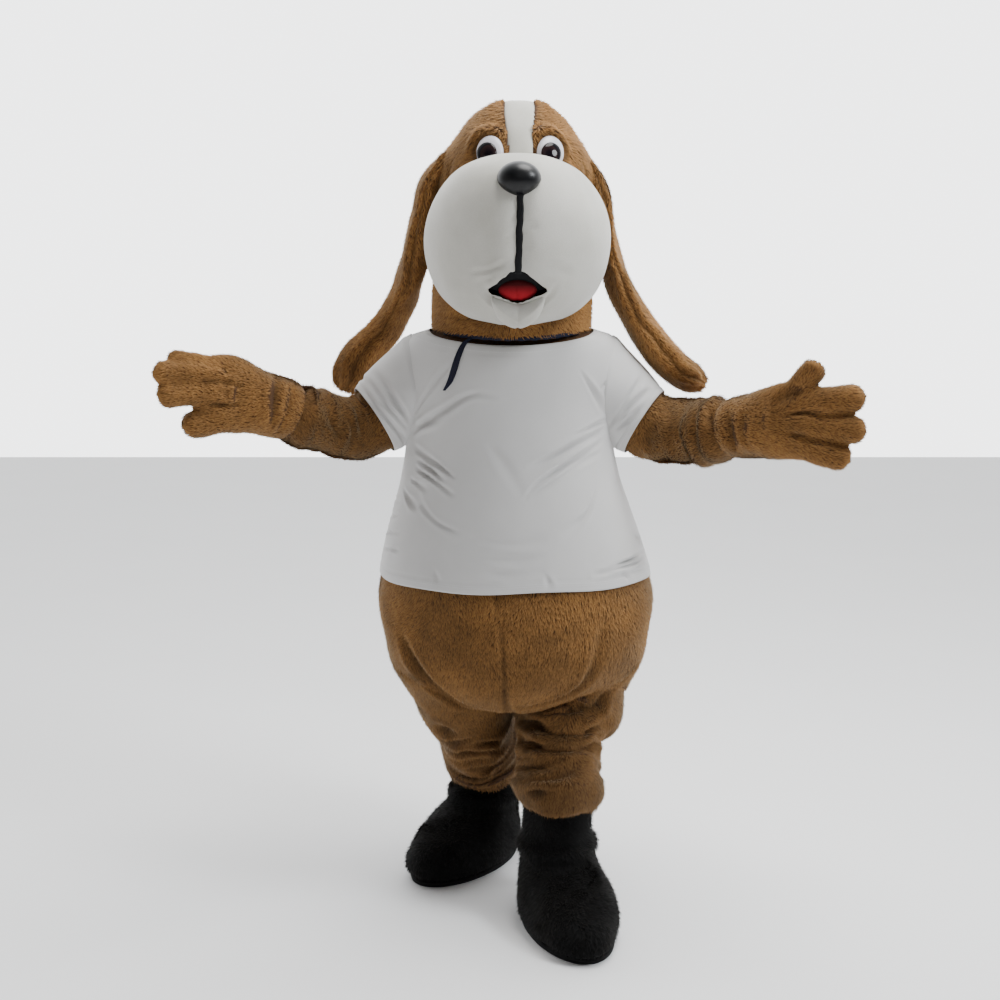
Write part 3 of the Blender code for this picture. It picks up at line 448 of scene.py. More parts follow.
ARM_FOLDS = {
    "left": folds("""
.0058 .0139 .4 70 .35 105 .357 140 .359
.005 .0124 .4 20 .405 75 .439 116.2 .447 160 .445
.0043 .0124 .4 40 .5 80 .49 110 .505
.0079 .0155 .5 30 .56 78.8 .573 117.8 .569 160 .563
.0072 .0139 .5 22.5 .607 62.2 .629 94.5 .647 150 .641
.0065 .0155 .5 -30 .4 -76 .42 -120 .41
.0072 .0155 .5 -20 .52 -70 .5 -130 .515
.0065 .0155 .5 -40 .6 -90 .62 -150 .6
"""),
    "right": folds("""
.0072 .0155 .5 -30 .65 -93.8 .66 -117.8 .64 -133.5 .597
.0058 .0139 .4 -32.2 .61 -78.8 .615 -105 .59 -141 .553
.0058 .0139 .4 -50 .548 -93 .519 -115.5 .461
.005 .0139 .4 -24 .453 -81.8 .415 -115.5 .367 -138.8 .36
.0058 .0124 .4 -70 .47 -110 .43 -150 .42
.0065 .0155 .5 30 .4 76 .42 120 .405
.0072 .0155 .5 20 .515 70 .53 130 .505
.0065 .0155 .5 40 .6 90 .59 150 .615
"""),
}

GLOVE_FOLDS = {
    "left": folds("""
.0075 .012 .5 40 .7 90 .716 140 .702
.006 .01 .4 62 .764 100 .75 138 .766
.007 .012 .5 -40 .72 -90 .738 -140 .716
-.0055 .011 0 50 .838 80 .824 112 .832
.0085 .008 .4 81 .86 78 .915 76 .985
.0085 .008 .4 104 .872 110 .925 122 .985
.0065 .01 .3 62 .845 50 .89 42 .93
.007 .008 .4 -80 .87 -78 .92 -76 .985
.007 .008 .4 -106 .88 -112 .93 -122 .985
"""),
    "right": folds("""
.008 .011 .5 -24 .738 -80 .75 -136 .728
.006 .01 .5 -50 .698 -95 .708 -150 .694
-.006 .011 0 -40 .88 -80 .888 -112 .878
.007 .012 .5 40 .72 90 .738 140 .72
.0085 .008 .4 -99 .845 -106 .9 -112 .965
.0075 .008 .4 -74 .855 -74 .91 -72 .98
.007 .008 .4 100 .86 106 .91 112 .965
.007 .008 .4 74 .87 74 .92 72 .98
"""),
}

HEAD_FOLDS = folds("""
-.015 .013 0 -44 1.752 -37 1.78 -27 1.797 -17 1.797 -12 1.784
-.015 .013 0 15 1.784 20 1.798 30 1.798 40 1.78 47 1.752
.006 .01 .3 -64.5 1.742 -67 1.717 -67 1.68
.006 .01 .3 62.2 1.731 64.5 1.707 66.8 1.674
.004 .006 .2 180 1.87 180 1.7 180 1.5 180 1.365
.005 .009 .4 -60 1.4 -20 1.396 20 1.4 60 1.402
""")

HEAD_BUMPS = rows_of(Bump, """
-.04 -.045 1.864 .028 .0075
.058 -.045 1.864 .028 .0075
-.092 -.12 1.812 .03 .006
.108 -.118 1.808 .03 .006
""")

MUZZLE_FOLDS = folds("""
.0034 .006 .5 -2 1.602 -5.5 1.594 -9.5 1.6
.0034 .006 .5 -2 1.584 -6 1.58 -10 1.582
.003 .006 .5 -2 1.566 -6 1.561 -9 1.556
.005 .008 .5 -7 1.512 -17.2 1.495 -30 1.49
.004 .007 .5 -12 1.49 -21 1.476 -30 1.466
.005 .008 .5 9 1.512 19 1.5 33.8 1.492
.003 .006 .4 3.4 1.589 8.2 1.581 12.8 1.58
.0026 .006 .4 3 1.545 7 1.54 10.5 1.541
.009 .008 .4 -24 1.466 -20 1.436 -12 1.408 -4 1.394
.009 .008 .4 25 1.466 21 1.436 13 1.408 5 1.394
""")


class CostumeSizes(bpy.types.PropertyGroup):
    pile_length: FloatProperty(
        name="Pile length", description="Length of one tuft of brown pile", default=0.0120, unit="LENGTH"
    )
    pile_width: FloatProperty(
        name="Tuft width", description="Width of a tuft at its root", default=0.0036, unit="LENGTH"
    )
    pile_count: FloatProperty(
        name="Tufts", description="Tufts to each square metre", default=124000.0
    )
    pile_sink: FloatProperty(
        name="Pile depth",
        description="How far the backing lies under the pile's tips",
        default=0.005,
        unit="LENGTH",
    )
    backing: FloatProperty(
        name="Backing",
        description="Thickness of the plush's backing and padding",
        default=0.004,
        unit="LENGTH",
    )
    fold_depth: FloatProperty(
        name="Fold depth", description="Depth of the cloth's folds as a share of the tables' own", default=1.0
    )
    jersey: FloatProperty(
        name="Jersey", description="Thickness of the T-shirt's cloth", default=0.0016, unit="LENGTH"
    )
    stitch: FloatProperty(
        name="Stitch", description="Distance from one stitch to the next", default=0.0045, unit="LENGTH"
    )


def colour_property(name, description, default):
    return FloatVectorProperty(
        name=name, description=description, default=default, subtype="COLOR", size=3, min=0.0, max=1.0
    )


class CostumeColours(bpy.types.PropertyGroup):
    pile_root: colour_property("Pile root", "Brown plush deep in the pile", (0.130, 0.054, 0.013))
    pile_tip: colour_property("Pile tip", "Brown plush at the tips", (0.335, 0.165, 0.050))
    white: colour_property("White plush", "Muzzle, chin and blaze", (0.610, 0.595, 0.545))
    jersey: colour_property("Jersey", "T-shirt", (0.575, 0.568, 0.562))
    black: colour_property("Black plush", "Boots", (0.0018, 0.0018, 0.0020))
    felt: colour_property("Black felt", "Mouth line and mouth", (0.006, 0.006, 0.007))
    tongue: colour_property("Tongue", "Red felt", (0.400, 0.012, 0.022))
    tape: colour_property("Tape", "Navy tape round the neck", (0.004, 0.005, 0.018))


# Surfaces as functions of two values
def unit(vectors):
    return vectors / np.maximum(np.linalg.norm(vectors, axis=-1, keepdims=True), 1e-12)


def smooth_rows(rows):
    """A function that gives the table's row at any values of its first column, smoothly between the rows."""
    data = np.array([tuple(row) for row in rows], float)
    keys, last = data[:, 0], len(data) - 1
    before, after = np.maximum(np.arange(last + 1) - 1, 0), np.minimum(np.arange(last + 1) + 1, last)
    slopes = (data[after] - data[before]) / (keys[after] - keys[before])[:, None]

    def at(values):
        values = np.clip(np.asarray(values, float), keys[0], keys[-1])
        low = np.clip(np.searchsorted(keys, values, side="right") - 1, 0, last - 1)
        span = (keys[low + 1] - keys[low])[..., None]
        share = (values - keys[low])[..., None] / span
        square, cube = share**2, share**3
        return (
            data[low] * (2 * cube - 3 * square + 1)
            + slopes[low] * span * (cube - 2 * square + share)
            + data[low + 1] * (3 * square - 2 * cube)
            + slopes[low + 1] * span * (cube - square)
        )

    return at


def ring_form(rows):
    """Points of a form round a vertical axis. Angle 0 faces -Y and 90 degrees faces +X."""
    at = smooth_rows(rows)

    def place(angle, height):
        angle, height = np.broadcast_arrays(np.asarray(angle, float), np.asarray(height, float))
        ring = at(height)
        depth = np.where(np.cos(angle) > 0, ring[..., 4], ring[..., 5])
        x = ring[..., 1] + ring[..., 3] * np.sin(angle)
        return np.stack([x, ring[..., 2] - depth * np.cos(angle), height], -1)

    return place


def limb_table(stations):
    path = np.array([tuple(station)[:3] for station in stations])
    steps = np.linalg.norm(np.diff(path, axis=0), axis=1)
    lengths = np.concatenate([[0.0], np.cumsum(steps)])
    return [(length / lengths[-1], *station) for length, station in zip(lengths, stations)], lengths[-1]


def limb_form(stations, reference, sizes, rolls=(), slant=0.0):
    """Points of a form round a path. Angle 0 faces the reference direction; sizes name the half sizes."""
    table, length = limb_table(stations)
    at = smooth_rows(table)
    columns = [stations[0]._fields.index(size) + 1 for size in sizes]

    def place(angle, share):
        angle, share = np.broadcast_arrays(np.asarray(angle, float), np.asarray(share, float))
        row = at(share)
        tangent = unit(at(share + 0.01)[..., 1:4] - at(share - 0.01)[..., 1:4])
        side = unit(np.cross(tangent, np.array(reference, float)))
        upward = np.cross(side, tangent)
        swell = np.zeros(angle.shape)
        for roll in rolls:
            turned = angle - math.radians(roll.toward)
            away = (share - roll.share) * length / roll.width + slant * np.sin(turned + 9 * roll.share)
            facing = 0.5 + 0.5 * np.cos(turned)
            swell += roll.height * np.exp(-(away**2)) * (0.35 + 0.65 * facing)
        high = (row[..., columns[0]] + swell) * np.cos(angle)
        wide = (row[..., columns[1]] + swell) * np.sin(angle)
        return row[..., 1:4] + upward * high[..., None] + side * wide[..., None]

    return place


def depth_in_rings(rows, points):
    """About how far points lie outside a form of rings; inside it is negative."""
    ring = smooth_rows(rows)(points[..., 2])
    y = points[..., 1] - ring[..., 2]
    depth = np.where(y < 0, ring[..., 4], ring[..., 5])
    reach = np.hypot((points[..., 0] - ring[..., 1]) / ring[..., 3], y / depth)
    beyond = np.maximum(points[..., 2] - rows[-1].height, rows[0].height - points[..., 2])
    return np.maximum((reach - 1) * np.minimum(ring[..., 3], depth), beyond)


def depth_in_limb(stations, reference, sizes, points):
    """About how far points lie outside a limb's form; inside it is negative."""
    table, _ = limb_table(stations)
    at = smooth_rows(table)
    shares = np.linspace(0, 1, 90)
    rows = at(shares)
    tangents = unit(at(shares + 0.01)[:, 1:4] - at(shares - 0.01)[:, 1:4])
    sides = unit(np.cross(tangents, np.array(reference, float)))
    ups = np.cross(sides, tangents)
    columns = [stations[0]._fields.index(size) + 1 for size in sizes]
    flat = points.reshape(-1, 3)
    near = np.argmin(((flat[:, None] - rows[None, :, 1:4]) ** 2).sum(-1), axis=1)
    away = flat - rows[near, 1:4]
    high = (away * ups[near]).sum(-1) / rows[near, columns[0]]
    wide = (away * sides[near]).sum(-1) / rows[near, columns[1]]
    along = (away * tangents[near]).sum(-1)
    reach = (np.hypot(high, wide) - 1) * np.minimum(rows[near, columns[0]], rows[near, columns[1]])
    return np.maximum(reach, np.abs(along) - 0.004).reshape(points.shape[:-1])


def grid_normals(points, wraps=True):
    across = np.roll(points, -1, 1) - np.roll(points, 1, 1) if wraps else np.gradient(points, axis=1)
    return unit(np.cross(across, np.gradient(points, axis=0)))


def pushed(points, normals, shift, wraps=True):
    """The points moved along their normals, and the normals that they then have."""
    points = points + normals * shift[..., None]
    return points, grid_normals(points, wraps)


def turns(columns, first=-180.0, last=180.0):
    """Angles right round, without the last, or between two values."""
    whole = last - first >= 360.0
    return np.radians(np.linspace(first, last, columns, endpoint=not whole))


def even_values(place, angle, low, high, count):
    """Values between two that lie evenly along the surface's own line at one angle."""
    fine = np.linspace(low, high, 400)
    line = place(math.radians(angle), fine)
    travelled = np.concatenate([[0.0], np.cumsum(np.linalg.norm(np.diff(line, axis=0), axis=1))])
    return np.interp(np.linspace(0, travelled[-1], count), travelled, fine)


def waves(points, size, seed):
    """A smooth uneven value between about -1 and 1 at each point, with humps of this size."""
    chance = np.random.default_rng(seed)
    total = np.zeros(points.shape[:-1])
    for _ in range(7):
        direction = unit(chance.normal(size=3)) * math.tau / (size * chance.uniform(1.4, 3.2))
        total += np.sin(points @ direction + chance.uniform(0, math.tau))
    return total / 3.2


def smooth_step(value, low, high):
    share = np.clip((value - low) / (high - low), 0, 1)
    return share * share * (3 - 2 * share)


# Cloth folds
def fold_line(place, line, step):
    """A fold's line on a surface as evenly spaced points, rounded at its corners."""
    keys = np.linspace(0, 1, len(line))
    rows = smooth_rows([(key, *pair) for key, pair in zip(keys, line)])
    fine = rows(np.linspace(0, 1, 200))
    points = place(np.radians(fine[:, 1]), fine[:, 2])
    travelled = np.concatenate([[0.0], np.cumsum(np.linalg.norm(np.diff(points, axis=0), axis=1))])
    count = max(4, int(travelled[-1] / step))
    even = np.linspace(0, travelled[-1], count)
    return np.stack([np.interp(even, travelled, points[:, i]) for i in range(3)], -1)


def press_folds(place, points, normals, folds, strength, seed):
    """How far each point moves along its normal for the folds: a trough with a ridge on either side."""
    shift = np.zeros(points.shape[:-1])
    for number, fold in enumerate(folds):
        guide = fold_line(place, fold.line, fold.width * 0.5)
        reach = fold.width * 3.4
        low, high = guide.min(0) - reach, guide.max(0) + reach
        near = np.all((points > low) & (points < high), axis=-1)
        if not near.any():
            continue
        spots, outward = points[near], normals[near]
        tangents = unit(np.gradient(guide, axis=0))
        closest = np.argmin(((spots[:, None] - guide[None]) ** 2).sum(-1), axis=1)
        away = spots - guide[closest]
        along = (away * tangents[closest]).sum(-1)
        inner = (closest > 0) & (closest < len(guide) - 1)
        side = unit(np.cross(tangents[closest], outward))
        across = (away * side).sum(-1)
        offset = np.where(inner, np.abs(across), np.hypot(across, along))
        right = across > 0
        share = np.clip((closest + along / (fold.width * 0.5)) / (len(guide) - 1), 0, 1)
        uneven = 1 + 0.28 * np.sin(share * (5 + number % 4) + number * 1.7 + seed)
        taper = np.sin(np.pi * (0.02 + 0.96 * share)) ** 0.8 * uneven
        x = offset / (fold.width * (0.85 + 0.3 * np.sin(share * 4 + number)))
        lip = np.where(right, 1.0, 0.55) * fold.ridge
        profile = -np.exp(-(x**2)) + lip * np.exp(-(((x - 1.8) / 0.8) ** 2))
        shift[near] += strength * fold.depth * taper * profile
    return shift


def in_creases(shift, depth):
    """How deep in a fold each point lies, from 0 on the open cloth to 1 at the bottom of a crease; the pile's
    finish paints shade in the folds by it.
    """
    return np.clip(-shift / depth - 0.15, 0, 1)


def fillet(distance, reach):
    """How far a surface swells where another one comes out of it, so that the two run into one another."""
    return reach * 0.25 * np.clip(1 - np.abs(distance) / reach, 0, 1) ** 2


# Mesh objects
def mark_points(mesh, key, values):
    kind, field = ("FLOAT_VECTOR", "vector") if key == "nap" else ("FLOAT", "value")
    mesh.attributes.new(key, kind, "POINT").data.foreach_set(field, values.astype(np.float32).ravel())


def add_object(name, data):
    made = bpy.data.objects.new(name, data)
    bpy.context.scene.collection.objects.link(made)
    return made


def baked(obj):
    """The mesh that an object's modifiers give."""
    graph = bpy.context.evaluated_depsgraph_get()
    made = obj.evaluated_get(graph)
    return bpy.data.meshes.new_from_object(made, preserve_all_data_layers=True, depsgraph=graph)


def add_mesh(name, points, faces, shade, marks=None):
    """A mesh object in the costume's frame, from points above the floor, with values marked on its points."""
    points = np.asarray(points, float).reshape(-1, 3)
    used = np.zeros(len(points), bool)
    for face in faces:
        used[list(face)] = True
    number = np.cumsum(used) - 1
    mesh = bpy.data.meshes.new(name)
    shown = points[used] - HOLD
    mesh.from_pydata(shown.tolist(), [], [[int(number[i]) for i in face] for face in faces])
    for key, values in (marks or {}).items():
        parts = 3 if key == "nap" else 1
        values = np.asarray(values, np.float32).reshape(-1, parts)
        added = np.repeat(values[-1:], len(points) - len(values), axis=0)
        mark_points(mesh, key, np.concatenate([values, added])[used])
    mesh.shade_smooth()
    if shade:
        mesh.materials.append(shade)
    return add_object(name, mesh)


def grid_faces(rows, columns, wraps, keep=None, start=0):
    """Faces of a grid that look along its normals; keep says which points the cloth covers."""
    i, j = np.meshgrid(np.arange(rows - 1), np.arange(columns if wraps else columns - 1), indexing="ij")
    beside, low, high = (j + 1) % columns, i * columns, (i + 1) * columns
    quads = np.stack([low + j, low + beside, high + beside, high + j], -1).reshape(-1, 4)
    if keep is not None:
        quads = quads[np.asarray(keep).reshape(-1)[quads].all(axis=1)]
    return (quads + start).tolist()


def close_ends(points, faces, first=True, last=True):
    """The points and faces of a tube of rings with its ends closed round a middle point."""
    rows, columns = points.shape[:2]
    flat = points.reshape(-1, 3)
    for wanted, row in ((first, 0), (last, rows - 1)):
        if not wanted:
            continue
        middle = points[row].mean(0)
        number = len(flat)
        flat = np.vstack([flat, middle])
        for j in range(columns):
            edge = (row * columns + j, row * columns + (j + 1) % columns)
            faces.append((edge[1], edge[0], number) if row == 0 else (edge[0], edge[1], number))
    return flat, faces


def vertex_values(mesh, name):
    values = np.empty(len(mesh.vertices) * 3)
    mesh.vertices.foreach_get(name, values)
    return values.reshape(-1, 3)


def finished(obj):
    """The object with its modifiers made part of its mesh."""
    mesh = baked(obj)
    obj.modifiers.clear()
    old = obj.data
    obj.data = mesh
    bpy.data.meshes.remove(old)
    mesh.name = obj.name
    return obj


def give_wall(obj, thickness):
    """Gives an open sheet its thickness on the inside, with closed edges."""
    wall = obj.modifiers.new("wall", "SOLIDIFY")
    wall.thickness = thickness
    wall.offset = -1.0
    wall.use_even_offset = False
    return finished(obj)


def piece(obj, slot, *nodes):
    """Hands a finished piece to the frame, without the marks that only the growing of the pile reads."""
    for name in ("nap", "pile"):
        if name in obj.data.attributes:
            obj.data.attributes.remove(obj.data.attributes[name])
    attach(obj, "root")
    if nodes:
        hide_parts(*nodes)
    return obj


def plush(kit, name, points, faces, marks, nodes, seed, wall=None, cloth="brown", **pile):
    """A plush piece: its pile, grown on the backing by the marks, and the backing with its wall."""
    _, shade = kit
    base = add_mesh(name, points, faces, shade(cloth + " backing"), marks)
    return cover(kit, base, nodes, seed, wall, cloth, **pile)


def cover(kit, base, nodes, seed, wall, cloth="brown", **pile):
    sizes, shade = kit
    part, _, side = base.name.replace("_shell", "").rpartition("_")
    name = part + "_pile_" + side if side in SIDES else base.name.replace("_shell", "") + "_pile"
    grow_pile(base, name, cloth + "_plush", shade(cloth + " pile"), sizes, seed, **pile)
    if wall:
        give_wall(base, wall)
    return piece(base, cloth + "_plush", *nodes)


# Node trees
def pick(sockets, name):
    """A socket by its place or by its name, where the node offers it."""
    if isinstance(name, int):
        return sockets[name]
    return next(socket for socket in sockets if socket.name == name and socket.enabled)


def add_node(tree, kind, inputs=(), **settings):
    """A node with its settings and its inputs, each a value or another node's output."""
    node = tree.nodes.new(kind)
    for name, value in settings.items():
        setattr(node, name, value)
    for name, value in dict(inputs).items():
        socket = pick(node.inputs, name)
        if isinstance(value, bpy.types.NodeSocket):
            tree.links.new(value, socket)
        else:
            socket.default_value = value
    return node


def node_out(tree, kind, inputs=(), out=0, **settings):
    """One output of a new node."""
    return pick(add_node(tree, kind, inputs, **settings).outputs, out)


def calc(tree, operation, first, second):
    return node_out(tree, "ShaderNodeMath", {0: first, 1: second}, operation=operation)


def vector_calc(tree, operation, first, second):
    inputs = {0: first, "Scale" if operation == "SCALE" else 1: second}
    return node_out(tree, "ShaderNodeVectorMath", inputs, operation=operation)


def chance(tree, seed, low, high):
    """A random number, or a random vector, for each point."""
    if isinstance(low, tuple):
        inputs = {0: low, 1: high, "Seed": seed}
        return node_out(tree, "FunctionNodeRandomValue", inputs, data_type="FLOAT_VECTOR")
    return node_out(tree, "FunctionNodeRandomValue", {2: low, 3: high, "Seed": seed}, 1, data_type="FLOAT")


def stored(tree, geometry, name, value, domain):
    inputs = {"Geometry": geometry, "Name": name, "Value": value}
    return node_out(tree, "GeometryNodeStoreNamedAttribute", inputs, data_type="FLOAT", domain=domain)


def turned(tree, **axes):
    """The rotation that turns X to the first axis and Z towards the second."""
    inputs = {name + " Axis": axis for name, axis in axes.items()}
    return node_out(
        tree, "FunctionNodeAxesToRotation", inputs, "Rotation", primary_axis="X", secondary_axis="Z"
    )


def start_tree(name, **sockets):
    """A new tree that works on a geometry, with more inputs of these kinds, and its inputs."""
    tree = bpy.data.node_groups.new(name, "GeometryNodeTree")
    for socket, kind in {"Geometry": "Geometry", **sockets}.items():
        tree.interface.new_socket(socket, in_out="INPUT", socket_type="NodeSocket" + kind)
    tree.interface.new_socket("Geometry", in_out="OUTPUT", socket_type="NodeSocketGeometry")
    return tree, tree.nodes.new("NodeGroupInput").outputs


def placed(tree, points, instance, turn, scale):
    inputs = {"Points": points, "Instance": instance, "Rotation": turn, "Scale": scale}
    return node_out(tree, "GeometryNodeInstanceOnPoints", inputs)


def end_tree(tree, instances, material):
    """Makes the instances real, gives them their material and hands them out."""
    real = node_out(tree, "GeometryNodeRealizeInstances", {"Geometry": instances})
    shaded = node_out(tree, "GeometryNodeSetMaterial", {"Geometry": real, "Material": material})
    add_node(tree, "NodeGroupOutput", {"Geometry": shaded})
    return tree


def pile_tree():
    """Tufts of pile: narrow blades that start on the cloth, follow its nap and stand off it a little."""
    if PILE_TREE in bpy.data.node_groups:
        return bpy.data.node_groups[PILE_TREE]
    floats = dict.fromkeys(("Density", "Length", "Width", "Lift", "Unevenness"), "Float")
    tree, given = start_tree(PILE_TREE, **floats, Seed="Int", Material="Material")
    reader = "GeometryNodeInputNamedAttribute"
    pile = node_out(tree, reader, {"Name": "pile"}, "Attribute", data_type="FLOAT")
    nap = node_out(tree, reader, {"Name": "nap"}, "Attribute", data_type="FLOAT_VECTOR")
    density = calc(tree, "MULTIPLY", given["Density"], pile)
    spread = add_node(
        tree,
        "GeometryNodeDistributePointsOnFaces",
        {"Mesh": given["Geometry"], "Density": density, "Seed": given["Seed"]},
        distribute_method="RANDOM",
    ).outputs
    lifted = vector_calc(tree, "SCALE", spread["Normal"], given["Lift"])
    astray = chance(tree, 3, (-1.0, -1.0, -1.0), (1.0, 1.0, 1.0))
    strayed = vector_calc(tree, "SCALE", astray, given["Unevenness"])
    direction = vector_calc(tree, "ADD", vector_calc(tree, "ADD", nap, lifted), strayed)
    turn = turned(tree, Primary=direction, Secondary=spread["Normal"])
    reach = calc(tree, "MULTIPLY", given["Length"], chance(tree, 5, 0.70, 1.20))
    long, wide = calc(tree, "DIVIDE", reach, BLADE_LONG), calc(tree, "DIVIDE", given["Width"], BLADE_WIDE)
    scale = node_out(tree, "ShaderNodeCombineXYZ", {0: long, 1: wide, 2: 1.0})
    blade = node_out(tree, "GeometryNodeMeshCircle", {"Vertices": 3, "Radius": 1.0}, fill_type="NGON")
    pointed = node_out(tree, "GeometryNodeTransform", {"Geometry": blade, "Translation": (0.5, 0.0, 0.0)})
    along = node_out(tree, "ShaderNodeSeparateXYZ", {0: node_out(tree, "GeometryNodeInputPosition")})
    marked = stored(tree, pointed, "tip", calc(tree, "DIVIDE", along, BLADE_LONG), "POINT")
    tufts = placed(tree, spread["Points"], marked, turn, scale)
    toned = stored(tree, tufts, "tone", chance(tree, 7, 0.0, 1.0), "INSTANCE")
    return end_tree(tree, toned, given["Material"])


def stitch_tree():
    """A row of short stitches along the edges of the mesh."""
    if STITCH_TREE in bpy.data.node_groups:
        return bpy.data.node_groups[STITCH_TREE]
    tree, given = start_tree(STITCH_TREE, Spacing="Float", Thread="Float", Material="Material")
    curve = node_out(tree, "GeometryNodeMeshToCurve", {"Mesh": given["Geometry"]})
    spacing = {"Curve": curve, "Length": given["Spacing"]}
    spaced = node_out(tree, "GeometryNodeResampleCurve", spacing, mode="LENGTH")
    turn = turned(tree, Primary=node_out(tree, "GeometryNodeInputTangent"))
    grain = node_out(tree, "GeometryNodeMeshIcoSphere", {"Radius": 1.0, "Subdivisions": 1})
    long = calc(tree, "MULTIPLY", given["Spacing"], 0.36)
    scale = node_out(tree, "ShaderNodeCombineXYZ", {0: long, 1: given["Thread"], 2: given["Thread"]})
    return end_tree(tree, placed(tree, spaced, grain, turn, scale), given["Material"])


def run_tree(base, name, tree, values):
    """A new object with what the tree makes from this one."""
    step = base.modifiers.new("grow", "NODES")
    step.node_group = tree
    for item in tree.interface.items_tree:
        if item.in_out == "INPUT" and item.name in values:
            step[item.identifier] = values[item.name]
    mesh = baked(base)
    base.modifiers.remove(step)
    if not mesh.polygons:
        raise RuntimeError("nothing grew for " + name)
    mesh.name = name
    return add_object(name, mesh)


def grow_pile(base, name, slot, shade, sizes, seed, length=1.0, count=1.0, lift=0.32, uneven=0.26):
    values = {
        "Density": sizes.pile_count * count,
        "Length": sizes.pile_length * length,
        "Width": sizes.pile_width,
        "Lift": lift,
        "Unevenness": uneven,
        "Seed": seed,
        "Material": shade,
    }
    return piece(run_tree(base, name, pile_tree(), values), slot)


def flowing(points, normals, direction, swirl, size, seed):
    """The nap on each point: a direction laid on the surface, and turned unevenly."""
    direction = np.broadcast_to(np.asarray(direction, float), points.shape)
    flat = unit(direction - (direction * normals).sum(-1, keepdims=True) * normals)
    turn = (swirl * waves(points, size, seed))[..., None]
    return flat * np.cos(turn) + np.cross(normals, flat) * np.sin(turn)


# Finishes
def new_finish(name, constants):
    """A new material with constants on its shader's sockets, and its tree."""
    made = bpy.data.materials.new(name)
    made.use_nodes = True
    for key, value in constants.items():
        made.node_tree.nodes["Principled BSDF"].inputs[key].default_value = value
    return made, made.node_tree


def painted(made, colour, height=None, strength=0.0, distance=0.001):
    """The material with its colour and, where a height is given, its bump."""
    tree = made.node_tree
    shader = tree.nodes["Principled BSDF"]
    tree.links.new(colour, shader.inputs["Base Color"])
    if height is not None:
        inputs = {"Height": height, "Strength": strength, "Distance": distance}
        tree.links.new(node_out(tree, "ShaderNodeBump", inputs), shader.inputs["Normal"])
    return made


def object_place(tree):
    return node_out(tree, "ShaderNodeTexCoord", (), "Object")


def noise(tree, scale, detail=3.0, rough=0.6):
    inputs = {"Vector": object_place(tree), "Scale": scale, "Detail": detail, "Roughness": rough}
    return node_out(tree, "ShaderNodeTexNoise", inputs)


def mixed(tree, factor, low, high):
    return node_out(tree, "ShaderNodeMix", {0: factor, 6: (*low, 1.0), 7: (*high, 1.0)}, 2, data_type="RGBA")


def ranged(tree, value, low, high, to_low=0.0, to_high=1.0):
    return node_out(tree, "ShaderNodeMapRange", {0: value, 1: low, 2: high, 3: to_low, 4: to_high})


def by_height(tree, low, high, to_low=0.0, to_high=1.0):
    height = node_out(tree, "ShaderNodeSeparateXYZ", {0: object_place(tree)}, 2)
    return ranged(tree, height, low, high, to_low, to_high)


def attribute(tree, name):
    return node_out(tree, "ShaderNodeAttribute", (), "Fac", attribute_name=name)


def brightened(tree, colour, value):
    return node_out(tree, "ShaderNodeHueSaturation", {"Color": colour, "Value": value})


def scaled(colour, share):
    return tuple(share * part for part in colour)


def pile_finish(name, root, tip, sheen):
    """Tufts, dark at the root and light at the tip, each of its own tone, in patches of crushed nap; painted
    shade darkens the folds and the lower pieces.
    """
    constants = {"Roughness": 0.8, "Specular IOR Level": 0.25, "Sheen Weight": sheen, "Sheen Roughness": 0.45}
    made, tree = new_finish(name, {**constants, "Sheen Tint": (1.0, 0.76, 0.46, 1.0)})
    colour = mixed(tree, ranged(tree, attribute(tree, "tip"), 0.0, 0.7), root, tip)
    value = ranged(tree, noise(tree, 9.0, 5.0, 0.65), 0.32, 0.68, 0.74, 1.20)
    own = ranged(tree, attribute(tree, "tone"), 0.0, 1.0, 0.82, 1.16)
    # Painted shade: the pile darkens where the crease mark says it lies deep in a fold.
    shadow = ranged(tree, attribute(tree, "crease"), 0.0, 1.0, 1.0, 0.38)
    # Painted shade: the pile darkens towards the legs and boots, where less light falls.
    painted_low_shade = by_height(tree, -0.95, -0.45, 0.52)
    for more in (own, shadow, painted_low_shade):
        value = calc(tree, "MULTIPLY", value, more)
    return painted(made, brightened(tree, colour, value))


def backing_finish(name, colour):
    """The cloth that the pile stands on, seen only between the tufts."""
    made, tree = new_finish(name, {"Roughness": 0.95})
    grain = noise(tree, 260.0, 4.0)
    base = mixed(tree, ranged(tree, grain, 0.3, 0.7), scaled(colour, 0.45), colour)
    return painted(made, base, grain, 0.6, 0.003)


def velour_finish(name, colour):
    """Short white plush: soft, slightly soiled in patches, with a fine nap, and painted shade towards the
    bottom.
    """
    made, tree = new_finish(name, {"Roughness": 0.9, "Sheen Weight": 0.35, "Sheen Roughness": 0.4})
    grain = noise(tree, 420.0, 4.0, 0.7)
    shaded = tuple(part * shift for part, shift in zip(colour, (0.86, 0.86, 0.84)))
    base = mixed(tree, ranged(tree, noise(tree, 6.0), 0.35, 0.65), shaded, colour)
    fine = ranged(tree, grain, 0.3, 0.7, 0.93, 1.05)
    # Painted shade: the plush darkens towards the bottom of the muzzle and chin.
    value = calc(tree, "MULTIPLY", fine, by_height(tree, 0.06, 0.30, 0.74))
    return painted(made, brightened(tree, base, value), grain, 0.35, 0.002)


def jersey_finish(name, colour):
    """Plain knit: fine ribs that run up the cloth, and faint clouds of wear."""
    made, tree = new_finish(name, {"Roughness": 0.82, "Sheen Weight": 0.2})
    wave = {"Vector": object_place(tree), "Scale": 260.0, "Distortion": 1.5, "Detail": 1.0}
    ribs = node_out(tree, "ShaderNodeTexWave", wave, 1, bands_direction="X")
    grain = noise(tree, 700.0, 3.0, 0.7)
    base = mixed(tree, ranged(tree, noise(tree, 5.0), 0.35, 0.65), scaled(colour, 0.93), colour)
    bright = brightened(tree, base, ranged(tree, grain, 0.3, 0.7, 0.97, 1.02))
    return painted(made, bright, calc(tree, "ADD", ribs, grain), 0.18, 0.0006)


